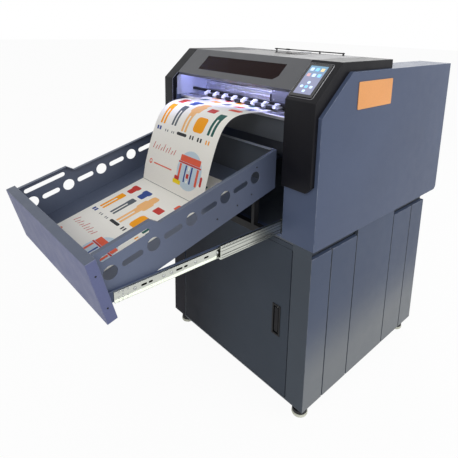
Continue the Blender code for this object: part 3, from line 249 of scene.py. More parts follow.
for node in ("foot_front_left", "foot_front_right", "foot_rear_left", "foot_rear_right"):
    low, high, mid = limits(node)
    at, top = (mid.x, mid.y, 0.0), high.z - 0.0002
    bm = bmesh.new()
    lathe(bm, at, "Z", PAD, 40)
    lathe(bm, at, "Z", COLLAR, 40, 1)
    rows = [(0.0130, 0.0052)]
    for k in range(THREAD_TURNS):
        z = THREAD_FOOT + k * (top - NUT_TALL - THREAD_FOOT) / THREAD_TURNS
        rows += [(z, 0.0052), (z + 0.0006, 0.0060)]
    lathe(bm, at, "Z", rows + [(top - 0.0044, 0.0056)], 20, 1)
    nut = top - NUT_TALL
    lathe(bm, at, "Z", [(nut, 0.0058), (nut, 0.0108), (top - 0.0004, 0.0108), (top, 0.0104)], 36, 1,
          hexagon=(1, 2, 3))
    piece(node + "_foot", bm, (cream_nylon, black_steel), "machine", (node,))

# ======== cabinet frame, base and back
# A welded frame of folded steel sheet holds the cabinet together. It is sprayed slate grey with the base,
# and the louvred back panel is screwed on.
ROUND_TRIES, LEAST_FOLD = 9, 4e-6


def folded_over(mesh):
    """The area of the triangles that face away from the flat they belong to."""
    mesh.calc_loop_triangles()
    area = 0.0
    for triangle in mesh.loop_triangles:
        a, b, c = (mesh.vertices[i].co for i in triangle.vertices)
        across = (b - a).cross(c - a)
        if across.dot(mesh.polygons[triangle.polygon_index].normal) < 0.0:
            area += across.length / 2
    return area


def softened(name, node, radius, surface, segments=2, angle=35.0, second=None, where=None):
    """The solid's own shape again, with its corners rounded over as folded sheet or moulded plastic has them,
    and with those corners marked as the places that get rubbed. Faces that where(middle, normal) picks take
    the second surface."""
    source = frame["nodes"][node]
    bm = bmesh.new()
    bm.from_mesh(source.data)
    bmesh.ops.remove_doubles(bm, verts=bm.verts, dist=2e-6)
    bmesh.ops.dissolve_limit(bm, angle_limit=radians(0.4), verts=bm.verts, edges=bm.edges)
    bm.verts.index_update()
    points = [v.co.copy() for v in bm.verts]
    loops = [[v.index for v in f.verts] for f in bm.faces]
    bm.free()
    mesh = bpy.data.meshes.new(name)
    mesh.from_pydata(points, [], loops)
    mesh.shade_smooth()
    mesh.materials.append(surface)
    mesh.materials.append(surface)
    made = bpy.data.objects.new(name, mesh)
    bpy.context.scene.collection.objects.link(made)
    if radius:
        round_over = made.modifiers.new("round_over", "BEVEL")
        round_over.limit_method = "ANGLE"
        round_over.angle_limit = radians(angle)
        round_over.segments = segments
        round_over.use_clamp_overlap = False
        round_over.material = 1
        # where sheet is thin the round is made smaller, until no flat folds over itself
        for attempt in range(ROUND_TRIES):
            round_over.width = radius * 0.8 ** attempt
            bpy.context.view_layer.update()
            final = bpy.data.meshes.new_from_object(made.evaluated_get(bpy.context.evaluated_depsgraph_get()))
            if folded_over(final) < LEAST_FOLD or attempt == ROUND_TRIES - 1:
                break
            bpy.data.meshes.remove(final)
        made.modifiers.clear()
        made.data = final
        final.name = name
        bpy.data.meshes.remove(mesh)
        mesh = final
    rounds = [face.material_index == 1 for face in mesh.polygons]
    rubbed = mesh.attributes.new("rubbed", "FLOAT", "CORNER")
    around = [[] for _ in mesh.vertices]
    for face in mesh.polygons:
        face.material_index = 0
        for corner, vertex in zip(face.loop_indices, face.vertices):
            around[vertex].append(face.index)
            rubbed.data[corner].value = 1.0 if rounds[face.index] else 0.0
    mesh.materials.pop(index=1)
    # each flat keeps its own normal up to the round, and the round runs smoothly from one flat to the next
    ways, sizes = [f.normal.copy() for f in mesh.polygons], [f.area for f in mesh.polygons]
    normals = [Vector((0, 0, 1))] * len(mesh.loops)
    for face in mesh.polygons:
        reach = 0.35 if rounds[face.index] else 0.82
        for corner, vertex in zip(face.loop_indices, face.vertices):
            near = [i for i in around[vertex] if not rounds[i] and ways[i].dot(ways[face.index]) > reach]
            near = near or [i for i in around[vertex] if ways[i].dot(ways[face.index]) > 0.3]
            normals[corner] = sum((ways[i] * sizes[i] for i in near), Vector()).normalized()
    mesh.normals_split_custom_set(normals)
    if second:
        mesh.materials.append(second)
        for face in mesh.polygons:
            face.material_index = 1 if where(face.center, face.normal) else 0
    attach(made, source["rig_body"])
    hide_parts(node)
    return made


def screw(bm, at, toward, r):
    """A button-head screw of radius r with a hexagon socket, standing on a surface."""
    turn = Vector((0, 0, 1)).rotation_difference(Vector(toward)).to_matrix()
    lathe(bm, at, turn, [(-0.0002, r)] + [(up * r, out * r) for up, out in (
        (0.10, 1.0), (0.36, 0.90), (0.56, 0.66), (0.62, 0.44), (0.60, 0.40), (0.22, 0.38), (0.20, 0.06))],
          18, hexagon=(5, 6))


def screws(bm, xs, ys, zs, toward, radius):
    """A screw at every crossing of the given places along the three axes."""
    for x in xs:
        for y in ys:
            for z in zs:
                screw(bm, (x, y, z), toward, radius)


slate_paint = finish("slate_paint", (0.058, 0.070, 0.090), 0.44, grain=1100, bump=0.06,
                     worn=(0.15, 0.165, 0.19))
door_paint = finish("door_paint", (0.056, 0.068, 0.087), 0.44, drift=0.08, speck=0.04, grain=1300,
                    worn=(0.10, 0.115, 0.14), specular=0.05)
zinc_screw = finish("zinc_screw", (0.52, 0.53, 0.53), 0.30, metallic=1.0, grain=500, bump=0.04)
black_screw = finish("black_screw", (0.030, 0.030, 0.033), 0.36, metallic=0.7, grain=500, bump=0.04)
# the frame's front strip above the door takes the door's paint, with its painted shade toward the left
softened("frame_weldment", "cabinet_frame", 0.0008, slate_paint, second=door_paint,
         where=lambda middle, normal: normal.y < -0.9 and middle.z > 0.58)
softened("base_sheet", "base_plate", 0.0008, slate_paint)
softened("back_panel", "cabinet_back", 0.0006, slate_paint, angle=50.0)
low, high, mid = limits("cabinet_back")
bm = bmesh.new()
screws(bm, (low.x + 0.012, mid.x, high.x - 0.012), (high.y,),
       (low.z + 0.014, low.z + 0.20, low.z + 0.36, high.z - 0.016), (0, 1, 0), 0.0038)
piece("back_panel_screws", bm, black_screw, "machine")

# ======== cabinet side panels
# Each side is one tall panel of sheet steel with four upright grooves pressed into it, folded round the front
# corner and sprayed blue-grey in a satin coat.
SATIN = {"drift": 0.05, "speck": 0.035, "grain": 1300, "bump": 0.045}
panel_paint_lit_low = finish("panel_paint_lit_low", (0.062, 0.084, 0.142), 0.36, **SATIN, worn=(0.19, 0.21, 0.26),
                     rough_drift=0.04, specular=0.15)


def shaded_along(surface, axis, colour, clear, full, most):
    """Drifts a surface to a second colour along an axis, in soft clumps. This paints light and shade into the
    colour: a paler foot, a darker left side or a lighter front.
    """
    tree = surface.node_tree
    shader = tree.nodes["Principled BSDF"]
    tone = shader.inputs["Base Color"].links[0].from_socket
    place = recipe(tree, "TexCoord", {}, "Object")
    along = recipe(tree, "SeparateXYZ", {0: place}, axis)
    ramp = recipe(tree, "MapRange", {"Value": along, "From Min": clear, "From Max": full, "To Max": most},
                  interpolation_type="SMOOTHSTEP")
    clumps = recipe(tree, "TexNoise", {"Vector": place, "Scale": 9.0, "Detail": 5.0})
    both = recipe(tree, "Math", {0: clumps, 1: 0.16, 2: ramp}, operation="MULTIPLY_ADD")
    less = recipe(tree, "Math", {0: both, 1: ramp}, operation="MULTIPLY", use_clamp=True)
    blend = recipe(tree, "Mix", {"Factor": less, "A": tone, "B": (*colour, 1.0)}, "Result", data_type="RGBA")
    feed(tree, shader, {"Base Color": blend})


# painted light: the side panels are painted paler and greyer toward their foot, standing in for the light
# falling on their lower part
shaded_along(panel_paint_lit_low, "Z", (0.215, 0.228, 0.234), 0.46, 0.14, 0.85)
fold_paint_shaded_left = finish("fold_paint_shaded_left", (0.078, 0.092, 0.112), 0.42, **SATIN, worn=(0.12, 0.135, 0.16),
                    rough_drift=0.04, specular=0.05)
# painted shade: the front folds and their heads are painted darker toward the left, where less light falls
shaded_along(fold_paint_shaded_left, "X", (0.009, 0.008, 0.014), 0.10, -0.28, 0.94)
# painted shade: the door is painted darker toward its left, where less light falls
shaded_along(door_paint, "X", (0.008, 0.008, 0.013), 0.18, -0.25, 0.88)
for side in ("left", "right"):
    softened("side_panel_" + side, "cabinet_side_" + side, 0.0016, panel_paint_lit_low, segments=3,
             second=fold_paint_shaded_left, where=lambda middle, normal: normal.y < -0.7)


def block(bm, low, high):
    """A plain block between its lowest and highest corners."""
    for v in bmesh.ops.create_cube(bm, size=1.0)["verts"]:
        v.co = [high[k] if v.co[k] > 0 else low[k] for k in range(3)]


# the fold at each side's front runs up to the housing over the frame
HEAD_FOOT, HEAD_TOP = 0.5866, 0.6122
low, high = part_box("cabinet_side_right")
door_low, door_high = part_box("door")
near, far, both = door_high.x + 0.0030, high.x - 0.0008, door_low.x + door_high.x
bm = bmesh.new()
for x0, x1 in ((near, far), (both - far, both - near)):
    block(bm, (x0, low.y + 0.00002, HEAD_FOOT), (x1, low.y + 0.00026, HEAD_TOP))
bmesh.ops.subdivide_edges(bm, edges=[e for e in bm.edges if e.calc_length() > 0.01], cuts=2)
piece("stile_heads", bm, fold_paint_shaded_left, "machine")

# ======== cabinet door and its latch
# The door is a shallow steel pan on a long hinge rod. A black nylon pan with a lift lever and a small lock
# barrel is let into its free side.
black_nylon = finish("black_nylon", (0.011, 0.011, 0.012), 0.42, grain=1500, bump=0.10,
                     worn=(0.02, 0.02, 0.022), specular=0.16)
lever_nylon = finish("lever_nylon", (0.012, 0.012, 0.014), 0.46, grain=1500, bump=0.06,
                     worn=(0.05, 0.05, 0.055), specular=0.12)
softened("door_pan", "door", 0.0014, door_paint, segments=3, second=slate_paint,
         where=lambda middle, normal: normal.y > 0.3)
softened("latch_pan", "door_latch", 0.0008, black_nylon)
softened("latch_lever", "latch_handle", 0.0006, lever_nylon, angle=50.0)
low, high, mid = limits("door_hinge_rod")
bm = bmesh.new()
lathe(bm, (mid.x, mid.y, 0), "Z",
      [(low.z, 0.0022), (low.z + 0.0008, 0.0029), (high.z - 0.0008, 0.0029), (high.z, 0.0022)], 20)
bright_steel = finish("bright_steel", (0.56, 0.57, 0.56), 0.26, metallic=1.0, drift=0.05, grain=600, bump=0.03,
                      rough_drift=0.08)
piece("hinge_rod", bm, bright_steel, "machine", ("door_hinge_rod",))
low, high, mid = limits("door_latch")
bm = bmesh.new()
lathe(bm, (mid.x, low.y + 0.0118, high.z - 0.0145), "Y",
      [(-0.0008, 0.0058), (-0.0066, 0.0058), (-0.0072, 0.0052), (-0.0072, 0.0040), (-0.0062, 0.0036),
       (-0.0062, 0.0004)], 24)
piece("latch_lock_barrel", bm, bright_steel, "door")

# ======== upper housing
# Two folded steel boxes stand on the cabinet on either side of the tray's bay. Between them run the sill, the
# print deck, the apron under the print mouth and the louvred back.
blue_grey_paint = finish("blue_grey_paint", (0.074, 0.098, 0.168), 0.36, **SATIN, worn=(0.22, 0.25, 0.32),
                         rough_drift=0.04, specular=0.20)
for side in ("left", "right"):
    softened("housing_" + side, "end_box_" + side, 0.0018, blue_grey_paint, segments=3)
dark_bay_paint = finish("dark_bay_paint", (0.100, 0.112, 0.130), 0.46, grain=1100,
                        worn=(0.12, 0.13, 0.15))
softened("bay_sill", "sill", 0.0012, blue_grey_paint)
softened("deck_plate", "print_deck", 0.0008, dark_bay_paint)
apron_paint = finish("apron_paint", (0.072, 0.080, 0.094), 0.46, grain=1100, worn=(0.20, 0.21, 0.23))
softened("mouth_apron", "apron", 0.0008, apron_paint)
softened("bay_back_panel", "bay_back", 0.0006, dark_bay_paint, angle=50.0)
bm = bmesh.new()
for side in ("left", "right"):
    low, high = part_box("end_box_" + side)
    screws(bm, (low.x + 0.012, high.x - 0.012), (high.y - 0.0001,),
           (low.z + 0.030, low.z + 0.26, high.z - 0.018), (0, 1, 0), 0.0036)
low, high, mid = limits("bay_back")
screws(bm, (low.x + 0.015, mid.x, high.x - 0.015), (high.y,), (low.z + 0.02, high.z - 0.012), (0, 1, 0), 0.0034)
piece("housing_screws", bm, black_screw, "machine")
# thin pale liners on the inner walls over the print deck spread the strip lamp's light
lining = finish("lining", (0.42, 0.45, 0.58), 0.50, drift=0.04)
LINER_RIM = [(-0.0960, 0.9890), (-0.0960, 1.0560), (-0.0880, 1.0640), (-0.0180, 1.1230), (0.1600, 1.1230),
             (0.1600, 0.9890)]
GAP = 0.00005
low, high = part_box("platen_front")
bm = bmesh.new()
for x0, x1 in ((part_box("end_box_left")[1].x, low.x), (high.x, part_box("end_box_right")[0].x)):
    skin(bm, [[bm.verts.new((x, y, z)) for y, z in LINER_RIM] for x in (x0 + GAP, x1 - GAP)])
piece("mouth_liners", bm, lining, "machine")

# ======== plate on the right housing
# A thin lacquered plate, left blank, is held on the right housing by four small screws. A darker line runs
# round it a little inside its edge.
orange_lacquer = finish("orange_lacquer", (0.82, 0.35, 0.105), 0.34, drift=0.05, grain=600, bump=0.03,
                        worn=(0.62, 0.40, 0.22))
line_lacquer = finish("line_lacquer", (0.42, 0.06, 0.025), 0.36, grain=600, bump=0.03)
softened("blank_plate", "side_plate", 0.0005, orange_lacquer, angle=50.0)
low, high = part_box("side_plate")
bm = bmesh.new()
rings = []
for m in (0.0070, 0.0086):
    y0, y1, z0, z1 = low.y + m, high.y - m, low.z + m, high.z - m
    rings.append([bm.verts.new((high.x - 0.00002, y, z)) for y, z in ((y0, z0), (y1, z0), (y1, z1), (y0, z1))])
skin(bm, rings, ends="open")
bmesh.ops.solidify(bm, geom=bm.faces[:], thickness=-0.0001)
piece("plate_border", bm, line_lacquer, "machine")
bm = bmesh.new()
m = 0.0035
screws(bm, (high.x - 0.00112,), (low.y + m, high.y - m), (low.z + m, high.z - m), (1, 0, 0), 0.0017)
piece("plate_screws", bm, zinc_screw, "machine")

# ======== mains inlet
# A moulded inlet with three blades and a rocker switch sits in the rear of the left housing. It is black
# nylon, held by two small screws.
softened("inlet_body", "power_inlet", 0.0006, black_nylon)
softened("rocker", "power_rocker", 0.0005, lever_nylon, angle=45.0)
low, high, mid = limits("power_inlet")
bm = bmesh.new()
screws(bm, (mid.x,), (low.y + 0.0378,), (low.z + 0.0032, high.z - 0.0032), (0, 1, 0), 0.0022)
piece("inlet_screws", bm, black_screw, "machine")

# ======== black end covers
# Two moulded covers cap the front of the housings and carry the hood between them. Each has a fine-grained
# face and well rounded corners, and its inner cheek beside the mouth is pale.
black_cover = finish("black_cover", (0.0050, 0.0050, 0.0074), 0.40, drift=0.10, speck=0.08, grain=1700,
                     bump=0.10, worn=(0.030, 0.030, 0.035), specular=0.18)
for side, toward in (("left", 1), ("right", -1)):
    softened("cover_" + side, "bezel_" + side, 0.0034, black_cover, segments=4, angle=42.0,
             second=lining, where=lambda middle, normal: normal.x * toward > 0.95 and middle.y < 0.05)

# ======== touch screen
# A five-inch screen lies under a glossy black glass on the right cover's slope. It shows six round-cornered
# keys and a cross of arrow pads; the picture is lit from behind.
screen_glass = finish("screen_glass", (0.006, 0.006, 0.008), 0.10, drift=0.04, speck=0.02, grain=200, bump=0.0,
                      rough_drift=0.04, coat=0.6, worn=(0.02, 0.02, 0.022))
softened("screen_glass_sheet", "touch_panel", 0.0006, screen_glass)


def lit(name, colour, strength, second=None, span=None):
    """A backlit surface, which may run from one colour to a second between two heights."""
    made = bpy.data.materials.new(name)
    made.use_nodes = True
    tree = made.node_tree
    place = recipe(tree, "TexCoord", {}, "Object")
    if second:
        height = recipe(tree, "SeparateXYZ", {0: place}, "Z")
        share = recipe(tree, "MapRange", {"Value": height, "From Min": span[0], "From Max": span[1]})
    else:
        share = recipe(tree, "TexNoise", {"Scale": 60.0, "Vector": place})
        second = (c * 0.86 for c in colour)
    tone = recipe(tree, "Mix", {"Factor": share, "A": (*colour, 1.0), "B": (*second, 1.0)}, "Result",
                  data_type="RGBA")
    feed(tree, tree.nodes["Principled BSDF"], {"Roughness": 0.16, "Emission Strength": strength,
                                               "Base Color": tone, "Emission Color": tone})
    return made


low, high, mid = limits("touch_display")
picture = lit("screen_picture", (0.24, 0.255, 0.38), 0.62, (0.16, 0.32, 0.46), (low.z + 0.040, high.z))
softened("screen_face", "touch_display", 0.0, picture)
SLOPE_FOOT = Vector((0.0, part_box("bezel_right")[0].y, 1.051))
SLOPE = Vector((0.0, 0.1157, 0.1070)).normalized()
SLOPE_UP = Vector((0.0, -SLOPE.z, SLOPE.y))
KEY_LIFT = 0.0031


def on_slope(x, t, lift=0.0):
    """A point on the covers' slope, a distance t up from its lower edge."""
    return Vector((x, 0.0, 0.0)) + SLOPE_FOOT + SLOPE * t + SLOPE_UP * lift


def round_cornered(x, t, wide, tall, radius, steps):
    """Points (x, t) round a rectangle with rounded corners, from its middle and its size."""
    half_wide, half_tall = wide / 2 - radius, tall / 2 - radius
    return [(x + cx * half_wide + radius * cos(a), t + ct * half_tall + radius * sin(a))
            for cx, ct, start in ((1, 1, 0), (-1, 1, 1), (-1, -1, 2), (1, -1, 3))
            for a in (pi / 2 * (start + i / steps) for i in range(steps + 1))]


def key(bm, x, t, wide, tall, index, radius=0.0020):
    """A small round-cornered key drawn just over the screen."""
    rim = round_cornered(x, t, wide, tall, radius, 4)
    bm.faces.new([bm.verts.new(on_slope(u, v, KEY_LIFT)) for u, v in rim]).material_index = index


bm = bmesh.new()
for row, t in enumerate((0.118, 0.096)):
    for column in range(3):
        key(bm, mid.x + (column - 1) * 0.0185, t, 0.0120, 0.0120, (row * 3 + column) % 4)
for x, t in ((0.0, 0.068), (0.0, 0.036), (-0.0165, 0.052), (0.0165, 0.052)):
    key(bm, mid.x + x, t, 0.0105, 0.0095, 0, 0.0035)
key(bm, mid.x, 0.052, 0.0110, 0.0110, 1, 0.0050)
bmesh.ops.solidify(bm, geom=bm.faces[:], thickness=-0.00012)
piece("screen_keys", bm, [lit("key_" + name, colour, 0.75) for name, colour in (
    ("white", (0.62, 0.72, 0.86)), ("pale_blue", (0.30, 0.62, 0.86)), ("gold", (0.72, 0.62, 0.40)),
    ("rose", (0.66, 0.42, 0.44)))], "machine")


def bead(bm, line, half, height, up, ends="capped"):
    """A low rounded ridge along a line of points, standing up in the direction up."""
    rings, count = [], len(line)
    for i, point in enumerate(line):
        before = line[i - 1] if (i or ends == "joined") else line[i]
        after = line[(i + 1) % count] if (i < count - 1 or ends == "joined") else line[i]
        wide = (after - before).cross(up).normalized()
        rings.append([bm.verts.new(point + wide * (u * half) + up * (v * height)) for u, v in (
            (-1.0, -0.4), (-0.8, 0.45), (-0.35, 0.95), (0.35, 0.95), (0.8, 0.45), (1.0, -0.4))])
    skin(bm, rings, ends=ends)


low, high, mid = limits("touch_panel")
bm = bmesh.new()
rim = round_cornered(mid.x, 0.0785, high.x - low.x + 0.0080, 0.1330, 0.006, 5)
bead(bm, [on_slope(x, t) for x, t in rim], 0.0011, 0.0010, SLOPE_UP, "joined")
rim_metal = finish("rim_metal", (0.20, 0.20, 0.21), 0.30, metallic=0.9, bump=0.03)
piece("screen_rim", bm, rim_metal, "machine")

# ======== hood, its windows and lamp strip
# The hood is one folded steel lid in grey paint that lifts on two pins between the covers. It has a tinted
# window in its slope and one in its top, a strip lamp behind its lower lip, and a thin rod along its rear.
hood_paint = finish("hood_paint", (0.098, 0.101, 0.110), 0.42, drift=0.05, speck=0.04, grain=1300,
                    worn=(0.20, 0.205, 0.215))
tinted_acrylic = finish("tinted_acrylic", (0.016, 0.0034, 0.0022), 0.09, drift=0.05, speck=0.0, grain=120,
                        bump=0.0, rough_drift=0.03, alpha=0.82, specular=0.06)
softened("hood_lid", "hood", 0.0008, hood_paint)
softened("front_window", "hood_window", 0.0, tinted_acrylic)
softened("top_window", "hood_top_window", 0.0, tinted_acrylic)
strip = lit("violet_strip", (0.47, 0.49, 1.0), 24.0)
softened("strip_lamp", "light_bar", 0.0, strip)
low, high, mid = limits("hood_rod")
rod_z, post_foot = high.z - 0.0036, 1.1583
bm = bmesh.new()
lathe(bm, (0, mid.y, rod_z), "X",
      [(low.x, 0.0014), (low.x + 0.0006, 0.0021), (high.x - 0.0006, 0.0021), (high.x, 0.0014)], 18)
for x in (low.x + 0.010, low.x + 0.224, high.x - 0.006):
    lathe(bm, (x, mid.y, 0), "Z",
          [(post_foot, 0.0039), (post_foot + 0.0011, 0.0039), (post_foot + 0.0017, 0.0028),
           (rod_z + 0.0012, 0.0028), (rod_z + 0.0026, 0.0018)], 18)
lathe(bm, (low.x + 0.069, mid.y, rod_z), "X", [(-0.0080, 0.0022), (-0.0078, 0.0032), (0.0070, 0.0032),
                                                (0.0080, 0.0022)], 20)
piece("rear_rod", bm, black_steel, "hood", ("hood_rod",))

# ======== platen, feed roller and deck
# The sheet runs over a polished alloy platen. A gritted steel roller in the gap between its halves drives the
# sheet, and a sheet-metal table slopes away to the rear.
alloy_plate = finish("alloy_plate", (0.66, 0.66, 0.74), 0.38, metallic=1.0, drift=0.04, speck=0.10, grain=260,
                     run=(0.05, 1.0, 1.0), worn=(0.72, 0.72, 0.74))
softened("platen_lip", "platen_front", 0.0008, alloy_plate)
softened("platen_bed", "platen_rear", 0.0006, alloy_plate)
softened("rear_table", "feed_table", 0.0008, slate_paint)
gritted_steel = finish("gritted_steel", (0.42, 0.42, 0.42), 0.52, metallic=1.0, speck=0.2, grain=1500, bump=0.5)
low, high, mid = limits("feed_roller")
r, core = (high.z - low.z) / 2, (high.z - low.z) / 2 - 0.0008
bm = bmesh.new()
LANDS, LAND_PITCH, LAND_WIDE = 7, 0.0775, 0.0700
rows = [(low.x, 0.0044), (low.x + 0.0006, 0.0050), (low.x + 0.0080, 0.0050), (low.x + 0.0080, core)]
for k in range(LANDS):
    a = low.x + 0.0090 + k * LAND_PITCH
    b = a + LAND_WIDE
    rows += [(a, r), (b, r), (b + 0.0004, core), (min(b + 0.0071, high.x - 0.0086), core)]
rows += [(high.x - 0.0080, core), (high.x - 0.0080, 0.0050), (high.x - 0.0006, 0.0050), (high.x, 0.0044)]
lathe(bm, (0, mid.y, mid.z), "X", rows, 40)
piece("drive_roller", bm, gritted_steel, "feed_roller", ("feed_roller",))

# ======== pinch rollers and their arms
# Seven rubber rollers on a steel shaft press the sheet on to the feed roller. White moulded arms hold the
# shaft, each sprung by a small wire coil on the bar behind.
white_moulding = finish("white_moulding", (0.72, 0.73, 0.76), 0.38, drift=0.03, grain=700,
                        worn=(0.80, 0.80, 0.82))
black_rubber = finish("black_rubber", (0.017, 0.017, 0.019), 0.70, bump=0.20, specular=0.3)
low, high, mid = limits("pinch_rollers")
softened("arm_bar", "pinch_bar", 0.0005, white_moulding, angle=40.0, second=black_nylon,
         where=lambda middle, normal: middle.y > mid.y + 0.0138)
r = (high.z - low.z) / 2
PITCH, HALF_WIDE, ROLLERS = 0.050, 0.013, 7
first = mid.x - PITCH * (ROLLERS - 1) / 2
bm = bmesh.new()
lathe(bm, (0, mid.y, mid.z), "X",
      [(low.x, 0.0024), (low.x + 0.0005, 0.0030), (high.x - 0.0005, 0.0030), (high.x, 0.0024)], 18, 1)
for k in range(ROLLERS):
    rows = [(-HALF_WIDE, 0.0032), (-HALF_WIDE, r - 0.0012), (0.0008 - HALF_WIDE, r)]
    for groove in (-0.006, 0.0, 0.006):
        rows += [(groove - 0.0010, r), (groove - 0.0006, r - 0.0006), (groove + 0.0006, r - 0.0006),
                 (groove + 0.0010, r)]
    rows += [(HALF_WIDE - 0.0008, r), (HALF_WIDE, r - 0.0012), (HALF_WIDE, 0.0032)]
    lathe(bm, (first + k * PITCH, mid.y, mid.z), "X", rows)
piece("rubber_rollers", bm, (black_rubber, bright_steel), "pinch_rollers", ("pinch_rollers",))


def coil(bm, at, radius, wire, turns, length, steps=14):
    """A wire coil about a line along X."""
    rings = []
    total = turns * steps
    for i in range(total + 1):
        a = 2 * pi * i / steps
        out = Vector((0, cos(a), sin(a)))
        heart = Vector(at) + Vector((length * (i / total - 0.5), 0, 0)) + out * radius
        rings.append([bm.verts.new(heart + out * (wire * cos(b)) + Vector((wire * sin(b), 0, 0)))
                      for b in (2 * pi * k / 6 for k in range(6))])
    skin(bm, rings)


low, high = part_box("pinch_bar")
bm = bmesh.new()
for k in range(ROLLERS + 1):
    for side in (-0.0092, 0.0092):
        at = (first + (k - 0.5) * PITCH + side, high.y - 0.0130, high.z - 0.0040)
        coil(bm, at, 0.0026, 0.0004, 5, 0.0050)
piece("arm_springs", bm, bright_steel, "machine")

# ======== guide beam, belt and carriage
# The carriage rides on an extruded alloy beam with open slots. A toothed belt behind the beam pulls it, and a
# clear coded strip is stretched along the beam's front.
brushed_alloy = finish("brushed_alloy", (0.72, 0.72, 0.76), 0.36, metallic=1.0, drift=0.06, speck=0.16,
                       grain=420, bump=0.08, run=(0.03, 1.0, 1.0), worn=(0.74, 0.74, 0.76))
carriage_paint = finish("carriage_paint", (0.135, 0.140, 0.150), 0.40, grain=1300,
                        worn=(0.26, 0.26, 0.27))
softened("beam", "guide_beam", 0.0005, brushed_alloy)
softened("carriage_cover", "carriage", 0.0012, carriage_paint, segments=3)
for name, node in (("heads", "print_heads"), ("curing_lamp", "uv_lamp"), ("capping", "capping_station")):
    softened(name, node, 0.0008, black_nylon)
low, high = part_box("guide_beam")
bm = bmesh.new()
block(bm, (low.x + 0.002, low.y - 0.0007, low.z + 0.0235), (high.x - 0.002, low.y - 0.0005, low.z + 0.0295))
bmesh.ops.subdivide_edges(bm, edges=[e for e in bm.edges if e.calc_length() > 0.3], cuts=40)
clear_strip = finish("clear_strip", (0.30, 0.31, 0.33), 0.20, drift=0.05, speck=0.30, grain=2600, bump=0.0,
                     run=(1.0, 0.02, 0.02))
piece("coded_strip", bm, clear_strip, "machine")
low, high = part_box("drive_belt")
teeth = int((high.x - low.x) / 0.004)
pitch = (high.x - low.x) / teeth
outline = []
for k in range(teeth):
    outline += [(low.x + pitch * (k + along), low.y + deep)
                for along, deep in ((0.0, 0.0006), (0.5, 0.0006), (0.55, 0.0), (0.95, 0.0))]
outline += [(high.x, low.y + 0.0006), (high.x, high.y), (low.x, high.y)]
bm = bmesh.new()
skin(bm, [[bm.verts.new((x, y, z)) for x, y in outline] for z in (low.z, high.z)])
piece("toothed_belt", bm, black_rubber, "machine", ("drive_belt",))
low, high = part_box("carriage")
bm = bmesh.new()
screws(bm, (low.x + 0.010, high.x - 0.010), (low.y,), (low.z + 0.020, high.z - 0.014), (0, -1, 0), 0.0026)
piece("carriage_screws", bm, zinc_screw, "carriage")

# ======== ink tanks
# The inks stand in a rack of four blow-moulded tanks of pale plastic. The rack is set down inside the right
# housing, out of sight behind its cover.
tank_plastic = finish("tank_plastic", (0.66, 0.66, 0.66), 0.42, grain=500, bump=0.06, worn=(0.75, 0.75, 0.75))
softened("tank_rack", "ink_tanks", 0.0015, tank_plastic, angle=40.0)

# ======== tray slides
# Each side of the tray runs on a three-part ball-bearing slide of zinc-plated steel. Button-head screws fix
# the members through punched holes, and steel balls sit in pressed cages between them.
slide_zinc = finish("slide_zinc", (0.58, 0.60, 0.55), 0.27, metallic=1.0, drift=0.05, speck=0.05, grain=520,
                    bump=0.06, run=(1.0, 0.04, 1.0), worn=(0.78, 0.78, 0.76))
painted_hole_shade = finish("painted_hole_shade", (0.010, 0.010, 0.011), 0.60, grain=600, bump=0.02, specular=0.2)
track_shadow = finish("track_shadow", (0.055, 0.056, 0.054), 0.50, metallic=0.4, grain=700, bump=0.04)
ball_steel = finish("ball_steel", (0.66, 0.66, 0.64), 0.16, metallic=1.0, grain=600, bump=0.0)
BALLS, BALL_PITCH, BALL_UP = 26, 0.0092, 0.0162
NOTCHES, TRACK_NOTCHES, NOTCH_PITCH, RAISED = 100, 96, 0.0054, 0.0002
SLOT_R = 0.0026
